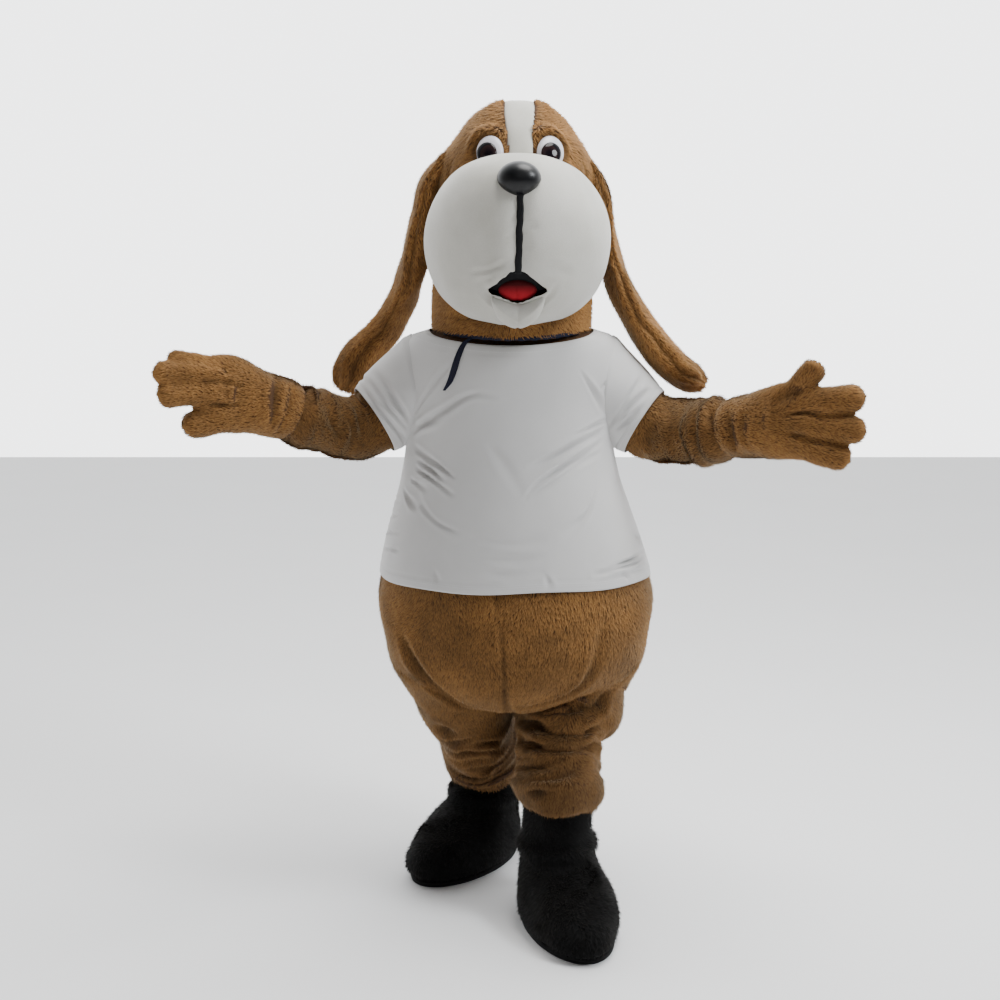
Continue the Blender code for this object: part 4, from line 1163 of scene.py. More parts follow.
def felt_finish(name, colour, roughness=0.95, coat=0.0, specular=0.3):
    """Felt, rubber or moulding: a fine grain over one colour, and a coat where it is glossy."""
    constants = {"Roughness": roughness, "Specular IOR Level": specular}
    made, tree = new_finish(name, {**constants, "Coat Weight": coat, "Coat Roughness": 0.12})
    grain = noise(tree, 380.0 if coat == 0 else 30.0)
    base = mixed(tree, grain, scaled(colour, 0.75), scaled(colour, 1.25))
    return painted(made, base, grain, 0.4 if roughness > 0.5 else 0.03)


def tongue_finish(name, colour):
    """Red felt, with painted shade that darkens it into the mouth."""
    made, tree = new_finish(name, {"Roughness": 0.9, "Specular IOR Level": 0.2})
    # Painted shade: the felt darkens upward into the mouth.
    base = mixed(tree, by_height(tree, 0.106, 0.136), colour, scaled(colour, 0.12))
    return painted(made, base, noise(tree, 380.0), 0.3)


def iris_finish(name, centre):
    """A dark eye: black pupil and rim, with a brown ring between."""
    made, tree = new_finish(name, {"Roughness": 0.07, "Specular IOR Level": 0.16})
    moved = vector_calc(tree, "SUBTRACT", object_place(tree), centre)
    flat = vector_calc(tree, "MULTIPLY", moved, (1.0, 0.0, 0.9))
    far = node_out(tree, "ShaderNodeVectorMath", {0: flat}, "Value", operation="LENGTH")
    ramp = add_node(tree, "ShaderNodeValToRGB", {0: ranged(tree, far, 0.0, 0.0215)})
    stops = ramp.color_ramp.elements
    stops[0].position, stops[0].color = 0.30, (0.006, 0.004, 0.006, 1.0)
    stops[1].position, stops[1].color = 0.93, (0.004, 0.003, 0.005, 1.0)
    stops.new(0.48).color = (0.014, 0.008, 0.010, 1.0)
    stops.new(0.78).color = (0.022, 0.012, 0.012, 1.0)
    return painted(made, ramp.outputs[0])


def shades(context):
    """The finishes by name, each made once."""
    colours = context.scene.costume_colours
    plain = {
        "black felt": (tuple(colours.felt),),
        "navy tape": (tuple(colours.tape), 0.8),
        "nose gloss": ((0.0030, 0.0032, 0.0040), 0.34, 0.0, 0.30),
        "eye white": ((0.620, 0.590, 0.640), 0.35, 0.1),
        "sole rubber": ((0.006, 0.006, 0.006), 0.85, 0.0, 0.2),
        "white thread": ((0.660, 0.665, 0.670), 0.7),
    }
    special = {
        "brown pile": (pile_finish, tuple(colours.pile_root), tuple(colours.pile_tip), 0.40),
        "black pile": (pile_finish, scaled(colours.black, 0.5), scaled(colours.black, 1.6), 0.02),
        "brown backing": (backing_finish, scaled(colours.pile_root, 0.7)),
        "black backing": (backing_finish, tuple(colours.black)),
        "white plush": (velour_finish, tuple(colours.white)),
        "jersey": (jersey_finish, tuple(colours.jersey)),
        "red felt": (tongue_finish, tuple(colours.tongue)),
    }

    def shade(name):
        maker, *rest = special.get(name) or (felt_finish, *plain.get(name, ()))
        return bpy.data.materials.get(name) or maker(name, *rest)

    return shade


LEG_FORM, SLEEVE_FORM = (FRONT, ("across_y", "across_x")), (UP, ("sleeve", "sleeve"))
EAR_FORM, GLOVE_FORM = (FRONT, ("broad", "thick")), (UP, ("glove_up", "glove_side"))


def sleeve_form(side):
    return limb_form(ARMS[side], *SLEEVE_FORM, ARM_ROLLS[side], 0.7)


def outside_torso(points):
    return depth_in_rings(TORSO, points)


def outside_limbs(limbs, form, points):
    """About how far points lie outside the nearer of two limbs."""
    return np.minimum(*(depth_in_limb(limbs[side], *form, points) for side in SIDES))


def given(context):
    """The sizes and the finishes that a step builds with."""
    return context.scene.costume_sizes, shades(context)


def tube_start(place, angles, outside, overlap, limit):
    """For each column of a limb, the share where it comes out of the body it starts in."""
    shares = np.linspace(0, limit, 240)
    points = place(angles[None], shares[:, None])
    hidden = outside(points) < -overlap
    last = np.array([np.max(np.nonzero(column)[0], initial=0) for column in hidden.T])
    starts = shares[last]
    for _ in range(3):
        starts = 0.5 * starts + 0.25 * (np.roll(starts, 1) + np.roll(starts, -1))
    return starts


def hip_share(points):
    """Where trunk and legs run into one another: fully at the sides and behind, hardly under the belly."""
    round_it = np.abs(np.degrees(np.arctan2(points[..., 0], -(points[..., 1] + 0.014))))
    return (0.06 + 0.94 * smooth_step(round_it, 44, 72)) * (1 - smooth_step(points[..., 2], 0.60, 0.68))


class COSTUME_OT_suit(bpy.types.Operator):
    """The body suit's trunk: a rounded plush belly that is hidden under the T-shirt above its hem"""

    bl_idname = "costume.suit"
    bl_label = "Body suit"

    def execute(self, context):
        kit = sizes, _ = given(context)
        torso = ring_form(TORSO)
        angles = turns(190)
        fine = even_values(torso, 0.0, 0.4645, HEM_HEIGHT + 0.02, 52)
        heights = np.concatenate([fine, np.linspace(HEM_HEIGHT + 0.045, 1.395, 12)])
        points = torso(angles[None], heights[:, None])
        normals = grid_normals(points)
        normals[0] = DOWN
        under = smooth_step(points[..., 2], HEM_HEIGHT + 0.012, HEM_HEIGHT + 0.028)
        to_legs = outside_limbs(LEGS, LEG_FORM, points)
        deep = np.minimum(outside_limbs(ARMS, SLEEVE_FORM, points), to_legs)
        folds = press_folds(torso, points, normals, SUIT_FOLDS, sizes.fold_depth, 1)
        shift = folds + fillet(to_legs, 0.060) * hip_share(points)
        shift += 0.0030 * waves(points, 0.09, 21) * (1 - under)
        shift = shift * (1 - under) - sizes.pile_sink - 0.005 * under
        points, normals = pushed(points, normals, shift)
        marks = {
            # The crease mark sets the painted shade in the folds.
            "crease": in_creases(folds, 0.011),
            "pile": ((deep > -0.020) & (points[..., 2] < HEM_HEIGHT + 0.022)).astype(float),
            "nap": flowing(points, normals, DOWN, 0.75, 0.10, 22),
        }
        flat, faces = close_ends(points, grid_faces(*points.shape[:2], True, deep > -0.016), last=False)
        nodes = ["suit_{}_{}".format(half, side) for half in ("front", "back") for side in SIDES]
        plush(kit, "body_suit", flat, faces, marks, nodes, 11, sizes.backing)
        return {"FINISHED"}


class COSTUME_OT_legs(bpy.types.Operator):
    """The trouser legs: loose plush tubes that fall in folds on the boots"""

    bl_idname = "costume.legs"
    bl_label = "Trouser legs"

    def execute(self, context):
        kit = sizes, _ = given(context)
        for number, side in enumerate(SIDES):
            leg = limb_form(LEGS[side], *LEG_FORM, LEG_ROLLS[side])
            angles = turns(104)
            starts = tube_start(leg, angles, outside_torso, 0.010, 0.72)
            shares = starts + (1.0 - starts) * np.linspace(0, 1, 66)[:, None]
            points = leg(angles[None], shares)
            normals = grid_normals(points)
            outside = outside_torso(points)
            folds = press_folds(leg, points, normals, LEG_FOLDS[side], 1.15 * sizes.fold_depth, 3 + number)
            folds *= 0.35 + 0.65 * smooth_step(outside, 0.0, 0.05)
            folds += press_folds(ring_form(TORSO), points, normals, SUIT_FOLDS[:2], sizes.fold_depth, 1)
            shift = folds + fillet(outside, 0.060) * hip_share(points)
            shift += 0.0035 * waves(points, 0.06, 31 + number)
            shift += 0.004 * np.exp(-(((1 - shares) / 0.03) ** 2)) * waves(points, 0.05, 33)
            points, normals = pushed(points, normals, shift - sizes.pile_sink)
            marks = {
                # The crease mark sets the painted shade in the folds.
                "crease": in_creases(folds, 0.014),
                "pile": np.ones(points.shape[:2]),
                "nap": flowing(points, normals, DOWN, 0.6, 0.07, 34 + number),
            }
            faces = grid_faces(*points.shape[:2], True)
            nodes = ["suit_leg_" + side]
            plush(kit, "trouser_leg_" + side, points, faces, marks, nodes, 12 + number, sizes.backing)
        return {"FINISHED"}


class COSTUME_OT_sleeves(bpy.types.Operator):
    """The suit's sleeves: plush tubes in short folds from the T-shirt's cuffs into the gloves"""

    bl_idname = "costume.sleeves"
    bl_label = "Suit sleeves"

    def execute(self, context):
        kit = sizes, _ = given(context)
        for number, side in enumerate(SIDES):
            sleeve = sleeve_form(side)
            angles = turns(78)
            starts = tube_start(sleeve, angles, outside_torso, 0.012, 0.24)
            shares = starts + (SLEEVE_END - starts) * np.linspace(0, 1, 70)[:, None]
            points = sleeve(angles[None], shares)
            normals = grid_normals(points)
            shown = smooth_step(shares, SHIRT_CUFF - 0.030, SHIRT_CUFF + 0.005)
            folds = press_folds(sleeve, points, normals, ARM_FOLDS[side], sizes.fold_depth, 5 + number)
            tucked = smooth_step(shares, 0.628, 0.640)
            shift = folds * (1 - tucked) + 0.0040 * waves(points, 0.045, 41 + number) - 0.003 * tucked
            shift = shift * shown - sizes.pile_sink - 0.005 * (1 - shown)
            points, normals = pushed(points, normals, shift)
            along = np.gradient(points, axis=0)
            marks = {
                # The sleeves' pile is darkened all over through this mark, and painted shade deepens their
                # folds.
                "crease": 0.45 + 0.55 * in_creases(folds * shown, 0.008),
                "pile": ((shares > SHIRT_CUFF - 0.012) & (shares < GLOVE_CUFF + 0.03)).astype(float),
                "nap": flowing(points, normals, along, 0.7, 0.06, 44 + number),
            }
            faces = grid_faces(*points.shape[:2], True)
            nodes, name = ["suit_sleeve_" + side], "arm_sleeve_" + side
            plush(kit, name, points, faces, marks, nodes, 14 + number, sizes.backing, length=0.9)
        return {"FINISHED"}


class COSTUME_OT_gloves(bpy.types.Operator):
    """The gloves: a soft palm and four fat fingers sewn as one plush shell"""

    bl_idname = "costume.gloves"
    bl_label = "Gloves"

    def execute(self, context):
        kit = sizes, shade = given(context)
        for number, side in enumerate(SIDES):
            palm = limb_form(ARMS[side], *GLOVE_FORM)
            angles = turns(64)
            grid = palm(angles[None], np.linspace(CUFF_SHOWN, 1.0, 46)[:, None])
            flat, faces = close_ends(grid - grid_normals(grid) * sizes.pile_sink, grid_faces(46, 64, True))
            for digit in DIGITS[side]:
                root, tip = np.array(digit.root), np.array(digit.tip)
                along = unit(tip - root)
                beside = unit(np.cross(along, (0.0, -1.0, 0.0)))
                upward = np.cross(beside, along)
                share = np.linspace(0, 1, 26)
                rest = np.maximum(0.0, (share - 0.81) / 0.19)
                radius = digit.radius - sizes.pile_sink
                blunt = np.maximum(0.02, 1 - rest**2.6) ** 0.45
                thick = radius * ((0.95 + 0.10 * np.minimum(1, share / 0.8)) * blunt)
                turn = turns(32)
                ring = upward * np.cos(turn)[:, None] + beside * np.sin(turn)[:, None]
                length = np.linalg.norm(tip - root) - sizes.pile_sink
                finger = root + along * (length * share)[:, None, None] + ring[None] * thick[:, None, None]
                more, sides = close_ends(finger, grid_faces(26, 32, True))
                faces += [[int(i) + len(flat) for i in face] for face in sides]
                flat = np.vstack([flat, more])
            base = add_mesh("glove_shell_" + side, flat, faces, shade("brown backing"))
            melt = base.modifiers.new("melt", "REMESH")
            melt.mode, melt.voxel_size = "VOXEL", 0.0050
            ease = base.modifiers.new("ease", "SMOOTH")
            ease.factor, ease.iterations = 0.5, 5
            finished(base)
            self.open_cuff(base, ARMS[side])
            self.mark(base, side, number, palm, sizes.fold_depth)
            base.data.shade_smooth()
            cover(kit, base, ["glove_" + side], 16 + number, 0.003, length=0.85, count=1.1, lift=0.30)
        return {"FINISHED"}

    def open_cuff(self, obj, stations):
        """Takes the closed end of the cuff away, so that the sleeve runs in."""
        table, _ = limb_table(stations)
        at = smooth_rows(table)
        start = at(CUFF_SHOWN)[1:4]
        along = unit(at(CUFF_SHOWN + 0.01)[1:4] - at(CUFF_SHOWN - 0.01)[1:4])
        mesh = obj.data
        points = vertex_values(mesh, "co") + HOLD
        beyond = (points - start) @ along > 0.006
        faces = [list(face.vertices) for face in mesh.polygons if all(beyond[i] for i in face.vertices)]
        trimmed = add_mesh(obj.name, points, faces, mesh.materials[0])
        obj.data = trimmed.data
        bpy.data.objects.remove(trimmed)

    def mark(self, obj, side, number, palm, strength):
        """Lays the nap from the cuff to the fingertips and presses the palm's creases."""
        mesh = obj.data
        count = len(mesh.vertices)
        points, normals = vertex_values(mesh, "co"), vertex_values(mesh, "normal")
        folds = press_folds(palm, points + HOLD, normals, GLOVE_FOLDS[side], strength, 55 + number)
        shift = folds + 0.0018 * waves(points, 0.035, 51 + number)
        points = points + normals * shift[:, None]
        mesh.vertices.foreach_set("co", points.ravel())
        weights, flow = np.zeros(count), np.zeros((count, 3))
        lines = [(digit.root, digit.tip) for digit in DIGITS[side]]
        for line in lines + [(ARMS[side][7][:3], ARMS[side][10][:3])]:
            low, high = np.array(line) - HOLD
            along = high - low
            share = np.clip(((points - low) @ along) / (along @ along), 0, 1)
            away = np.linalg.norm(points - low - share[:, None] * along, axis=1)
            weight = 1 / (0.006 + away) ** 4
            flow += weight[:, None] * unit(along)
            weights += weight
        nap = flowing(points, normals, flow / weights[:, None], 0.35, 0.05, 53 + number)
        mesh.update()
        # The crease mark sets the painted shade in the palm's folds.
        for key, values in (("nap", nap), ("pile", np.ones(count)), ("crease", in_creases(folds, 0.009))):
            mark_points(mesh, key, values)


def over_armpit(points):
    return smooth_step(points[..., 2], 1.17, 1.24)


def neckline(angle):
    end = np.where(np.cos(angle) > 0, NECKLINE_FRONT, NECKLINE_BACK)
    return end + (NECKLINE_SIDE - end) * np.sin(angle) ** 2


def hem_line(angle):
    """The T-shirt's hem: a little higher in front, and uneven."""
    uneven = 0.0030 * np.sin(3 * angle + 0.9) + 0.0018 * np.sin(7 * angle + 0.3)
    return HEM_HEIGHT + 0.005 + 0.005 * np.cos(angle) + uneven


def shirt_form():
    """The T-shirt's face by angle and height, over the suit with a little ease."""
    torso = ring_form(TORSO)

    def place(angle, height):
        angle, height = np.broadcast_arrays(np.asarray(angle, float), np.asarray(height, float))
        step = 0.004
        points = torso(angle, height)
        beside = torso(angle + 0.01, height) - torso(angle - 0.01, height)
        above = torso(angle, height + step) - torso(angle, height - step)
        rise = np.clip((height - HEM_HEIGHT) / 0.12, 0, 1)
        ease = 0.0003 + SHIRT_EASE * np.sin(np.pi * rise / 2) + SHIRT_WALL
        return points + unit(np.cross(beside, above)) * ease[..., None]

    return place


class COSTUME_OT_tshirt(bpy.types.Operator):
    """The T-shirt: one thin jersey shell with short sleeves, hems, a neck band and its stitching"""

    bl_idname = "costume.tshirt"
    bl_label = "T-shirt"

    def execute(self, context):
        sizes, shade = given(context)
        shirt = shirt_form()
        angles = np.concatenate([turns(168, -70.0, 70.0), turns(98, 70.0, 290.0)[1:-1]])
        hem, neck = hem_line(angles), neckline(angles)
        heights = hem + np.linspace(0, 1, 120)[:, None] * (neck - hem)
        points = shirt(angles[None], heights)
        normals = grid_normals(points)
        from_hem, from_neck = heights - hem, neck - heights
        calm = smooth_step(from_hem, 0.0, 0.03) * smooth_step(from_neck, 0.0, 0.03)
        deep = outside_limbs(ARMS, SLEEVE_FORM, points)
        shift = press_folds(shirt, points, normals, SHIRT_FOLDS, 2.2 * sizes.fold_depth, 7)
        shift *= 0.35 + 0.65 * calm
        shift += 0.0020 * waves(points, 0.11, 61) * calm + fillet(deep, 0.040) * calm * over_armpit(points)
        shift += self.band(from_hem, 0.022) + self.band(from_neck, 0.016)
        points = points + normals * shift[..., None]
        faces = grid_faces(*points.shape[:2], True, deep > -0.012)
        flat = points.reshape(-1, 3)
        edges = ((from_hem, 0.018), (from_hem, 0.0135), (from_neck, 0.014))
        rows = [self.ring(points, *edge) for edge in edges]
        for number, side in enumerate(SIDES):
            cuff, rim = self.cuff(sizes, side, number)
            faces += grid_faces(*cuff.shape[:2], True, None, len(flat))
            flat = np.vstack([flat, cuff.reshape(-1, 3)])
            rows += rim
        base = add_mesh("tshirt", flat, faces, shade("jersey"))
        give_wall(base, sizes.jersey)
        nodes = ["tshirt_front", "tshirt_back", "tshirt_sleeve_left", "tshirt_sleeve_right"]
        piece(base, "white_jersey", *nodes)
        thread = self.stitches(rows, sizes, shade("white thread"))
        return {"FINISHED"}

    def band(self, away, width):
        """A turned or ribbed edge: a little proud, with a groove where it is sewn."""
        inside = 0.0009 * (1 - smooth_step(away, width - 0.002, width + 0.002))
        return inside - 0.0010 * np.exp(-(((away - width) / 0.0025) ** 2))

    def ring(self, points, away, distance):
        """A line round the grid at a distance from its edge."""
        line = []
        for column in range(points.shape[1]):
            order = np.argsort(away[:, column % away.shape[1]])
            keys = away[order, column % away.shape[1]]
            line.append([np.interp(distance, keys, points[order, column, i]) for i in range(3)])
        return np.array(line)

    def cuff(self, sizes, side, number):
        """One short sleeve, from the armhole to its hem."""
        sleeve = sleeve_form(side)
        angles = turns(100)
        starts = tube_start(sleeve, angles, lambda points: outside_torso(points) - 0.004, 0.007, 0.24)
        shares = starts + (SHIRT_CUFF - starts) * np.linspace(0, 1, 38)[:, None]
        points = sleeve(angles[None], shares)
        normals = grid_normals(points)
        ease = 0.0003 + SHIRT_EASE * np.clip((SHIRT_CUFF - shares) / 0.05, 0, 1) + SHIRT_WALL
        from_edge = (SHIRT_CUFF - shares) * limb_table(ARMS[side])[1]
        shift = press_folds(sleeve, points, normals, CUFF_FOLDS[side], 1.5 * sizes.fold_depth, 9 + number)
        shift = np.maximum(shift, -0.0035 - 0.006 * smooth_step(from_edge, 0.0, 0.05))
        shift += 0.0016 * waves(points, 0.06, 63 + number) * smooth_step(from_edge, 0.0, 0.03)
        shift += fillet(outside_torso(points) - 0.005, 0.040) * over_armpit(points)
        points = points + normals * (ease + shift + self.band(from_edge, 0.020))[..., None]
        return points, [self.ring(points, from_edge, 0.0165), self.ring(points, from_edge, 0.012)]

    def stitches(self, rows, sizes, shade):
        """The rows of stitches along the hems and the neck band."""
        points, edges = [], []
        for row in rows:
            start = len(points)
            points += (row - HOLD).tolist()
            edges += [(start + i, start + (i + 1) % len(row)) for i in range(len(row))]
        mesh = bpy.data.meshes.new("stitch_lines")
        mesh.from_pydata(points, edges, [])
        lines = add_object("stitch_lines", mesh)
        values = {"Spacing": sizes.stitch, "Thread": 0.0005, "Material": shade}
        made = run_tree(lines, "tshirt_stitches", stitch_tree(), values)
        bpy.data.objects.remove(lines)
        return piece(made, "white_jersey")


def blaze_half(height, depth):
    """Half the white strip's width: narrow over the muzzle and wide on the crown."""
    return blaze_half_at(np.arctan2(height - BLAZE_AXIS, -depth))


def blaze_half_at(lean):
    return BLAZE_HALF_WIDTH * (0.78 + 0.24 * smooth_step(lean, 0.2, 1.2))


class COSTUME_OT_head(bpy.types.Operator):
    """The head: a foam-backed plush shell with two brows, and a white blaze between them"""

    bl_idname = "costume.head"
    bl_label = "Head"

    def execute(self, context):
        kit = sizes, shade = given(context)
        head = ring_form(HEAD)
        angles = turns(172)
        heights = even_values(head, 90.0, HEAD_FOOT, 1.8818, 80)
        near_foot = np.exp(-(((heights - HEAD_FOOT) / 0.020) ** 2))[:, None]
        points = head(angles[None], heights[:, None])
        points[..., 2] += near_foot * SKIRT_RISE * np.sin(angles)[None] ** 2
        normals = grid_normals(points)
        folds = press_folds(head, points, normals, HEAD_FOLDS, sizes.fold_depth, 11)
        points, normals = pushed(points, normals, folds + self.swell(points) - sizes.pile_sink)
        across = np.abs(points[..., 0] - BLAZE_CENTRE)
        half = blaze_half(points[..., 2], points[..., 1])
        front = (points[..., 1] < BLAZE_BACK) & (points[..., 2] > BLAZE_FOOT)
        white = (across < half - 0.006) & (points[..., 1] < BLAZE_BACK - 0.006) & front
        bare = (across < half) & front
        inside = depth_in_rings(MUZZLE, points)
        toward = 0.35 - 0.45 * np.exp(-(((across - half) / 0.012) ** 2)) * front
        sign = np.sign(points[..., 0] - BLAZE_CENTRE)
        flow = np.stack(np.broadcast_arrays(toward * sign, 0.55, -0.75), -1)
        marks = {
            # The crease mark sets the painted shade in the folds and in the eye hollows.
            "crease": np.maximum(in_creases(folds, 0.006), self.round_eyes(points)),
            "pile": (~bare & (inside > -0.012)).astype(float),
            "nap": flowing(points, normals, flow, 0.7, 0.08, 72),
        }
        faces = grid_faces(*points.shape[:2], True, (inside > -0.030) & ~white)
        nodes = ["head_left", "head_right"]
        plush(kit, "head_shell", points, faces, marks, nodes, 18, 0.006, lift=0.40)
        self.blaze(shade)
        return {"FINISHED"}

    def swell(self, points):
        """The humps on either side of the blaze and the softness of the padding."""
        shift = 0.0022 * waves(points, 0.07, 71) - 0.0025
        for bump in HEAD_BUMPS:
            away = np.linalg.norm(points - (bump.x, bump.y, bump.z), axis=-1)
            shift += bump.height * np.exp(-((away / bump.radius) ** 2))
        for side in SIDES:
            shift += fillet(depth_in_limb(EARS[side], *EAR_FORM, points), 0.035)
        return shift

    def round_eyes(self, points):
        """Painted shade in the hollows over and beside the eyes."""
        shadow = np.zeros(points.shape[:2])
        for x, z in EYES.values():
            away = np.hypot((points[..., 0] - x) / EYE_HALF[0], (points[..., 2] - z - 0.004) / EYE_HALF[1])
            ring = np.exp(-(((away - 1.0) / 0.20) ** 2)) * (points[..., 1] < -0.05)
            shadow = np.maximum(shadow, ring)
        return shadow

    def blaze(self, shade):
        """The white strip from the muzzle over the crown."""
        lean = np.radians(np.linspace(-24, 152, 96))[:, None]
        half = blaze_half_at(lean)
        across = np.linspace(-1, 1, 17)[None] * half + BLAZE_CENTRE
        direction = np.stack(np.broadcast_arrays(0 * across, -np.cos(lean), np.sin(lean)), -1)
        start = np.stack(np.broadcast_arrays(across, 0 * lean, BLAZE_AXIS), -1)
        low, high = np.zeros(start.shape[:2]), np.full(start.shape[:2], 0.30)
        for _ in range(30):
            middle = 0.5 * (low + high)
            outside = depth_in_rings(HEAD, start + direction * middle[..., None]) > 0
            low, high = np.where(outside, low, middle), np.where(outside, middle, high)
        points = start + direction * low[..., None]
        edge = np.abs(across - BLAZE_CENTRE) / half
        shift = -0.0030 - 0.004 * edge**4 + 0.0010 * waves(points, 0.03, 75)
        points, _ = pushed(points, grid_normals(points, False), shift, False)
        made = add_mesh("white_blaze", points, grid_faces(*points.shape[:2], False), shade("white plush"))
        give_wall(made, 0.004)
        piece(made, "white_plush", "head_blaze")


class COSTUME_OT_ears(bpy.types.Operator):
    """The ears: long stuffed leaves with a sewn edge down the front and the back"""

    bl_idname = "costume.ears"
    bl_label = "Ears"

    def execute(self, context):
        kit = sizes, _ = given(context)
        for number, side in enumerate(SIDES):
            ear = limb_form(EARS[side], *EAR_FORM)
            angles = turns(60)
            share = np.sin(np.linspace(0.0, 1.0, 100) * np.pi / 2)[:, None] ** 0.9
            points = ear(angles[None], share)
            normals = grid_normals(points)
            shift = 0.0045 * waves(points, 0.06, 81 + number) + fillet(depth_in_rings(HEAD, points), 0.035)
            folds = np.zeros(points.shape[:2])
            for seam in (0.0, math.pi):
                wobble = 0.10 * np.sin(share * 23 + number) + 0.05 * np.sin(share * 51)
                off = np.abs(np.angle(np.exp(1j * (angles[None] - seam - wobble))))
                pucker = 1 + 0.5 * np.sin(share * 90 + 3 * np.sin(share * 31))
                folds += -0.0075 * np.exp(-((off / 0.16) ** 2))
                folds += 0.0034 * pucker * np.exp(-(((off - 0.42) / 0.20) ** 2))
            around = np.sin(5 * angles[None] + 1.3) * smooth_step(share, 0.90, 0.985) * 0.004
            points, normals = pushed(points, normals, shift + folds + around - sizes.pile_sink)
            along = np.gradient(points, axis=0)
            marks = {
                # The crease mark sets the painted shade in the seams' grooves.
                "crease": in_creases(folds, 0.008),
                "pile": (depth_in_rings(HEAD, points) > -0.010).astype(float),
                "nap": flowing(points, normals, along, 0.5, 0.07, 84 + number),
            }
            flat, faces = close_ends(points, grid_faces(*points.shape[:2], True))
            nodes = ["ear_outer_" + side, "ear_inner_" + side]
            base = plush(kit, "ear_" + side, flat, faces, marks, nodes, 20 + number, length=0.95)
        return {"FINISHED"}


def front_place(rows, x, z):
    """Points on the front of a form of rings by distance across and height."""
    ring = smooth_rows(rows)(z)
    sine = np.clip((x - ring[..., 1]) / ring[..., 3], -0.99, 0.99)
    return ring_form(rows)(np.arcsin(sine), z)


def front_normals(rows, x, z):
    step = 0.002
    across = front_place(rows, x + step, z) - front_place(rows, x - step, z)
    above = front_place(rows, x, z + step) - front_place(rows, x, z - step)
    return unit(np.cross(across, above))


def outline(edge, foot, steps):
    """A mirrored outline with points added between its corners."""
    right = list(edge) + [foot]
    whole = right + [(-x, z) for x, z in reversed(edge[1:])]
    whole = np.array(whole + whole[:1])
    line = np.concatenate([np.linspace(a, b, steps, endpoint=False) for a, b in zip(whole, whole[1:])])
    for _ in range(2):
        line = 0.5 * line + 0.25 * (np.roll(line, 1, 0) + np.roll(line, -1, 0))
    return line


def patch(name, rows, centre, edge, low, high, shade, rings=10):
    """A closed piece that lies on a form's front inside an outline, between two offsets."""
    share = np.linspace(0, 1, rings + 1)[1:, None]
    x, z = centre[0] + share * edge[None, :, 0], centre[1] + share * edge[None, :, 1]
    faces, layers = [], []
    spokes = len(edge)
    for side, offset in ((0, low), (1, high)):
        points = front_place(rows, x, z) + front_normals(rows, x, z) * offset(share, x, z)[..., None]
        middle = front_place(rows, np.array(centre[0]), np.array(centre[1]))
        lift = offset(np.zeros((1, 1)), np.full((1, 1), centre[0]), np.full((1, 1), centre[1]))
        middle = middle + front_normals(rows, np.array(centre[0]), np.array(centre[1])) * lift.ravel()[0]
        start = side * (1 + rings * spokes)
        sheet = [[start, start + 1 + j, start + 1 + (j + 1) % spokes] for j in range(spokes)]
        for i in range(rings - 1):
            for j in range(spokes):
                a, b = start + 1 + i * spokes + j, start + 1 + i * spokes + (j + 1) % spokes
                sheet.append([a, a + spokes, b + spokes, b])
        faces += sheet if side else [face[::-1] for face in sheet]
        layers.append(np.vstack([middle[None], points.reshape(-1, 3)]))
    rim = [1 + (rings - 1) * spokes + j for j in range(spokes)]
    top = 1 + rings * spokes
    faces += [[low, high, high + top, low + top] for low, high in zip(rim, rim[1:] + rim[:1])]
    return turned_out(add_mesh(name, np.vstack(layers), faces, shade))


def turned_out(obj):
    """The object with every face of its closed mesh turned outward."""
    build = bmesh.new()
    build.from_mesh(obj.data)
    bmesh.ops.recalc_face_normals(build, faces=build.faces)
    build.to_mesh(obj.data)
    build.free()
    obj.data.shade_smooth()
    return obj


def oval(half_across, half_height, spokes=48):
    angle = turns(spokes)
    return np.stack([half_across * np.sin(angle), half_height * np.cos(angle)], -1)


def valley(x, z):
    """The hollow that the felt line lies in, down the middle of the muzzle."""
    ends = smooth_step(z, 1.470, 1.530) * smooth_step(-z, -1.680, -1.610)
    return -0.010 * ends * np.exp(-(((x - 0.003) / 0.022) ** 2))


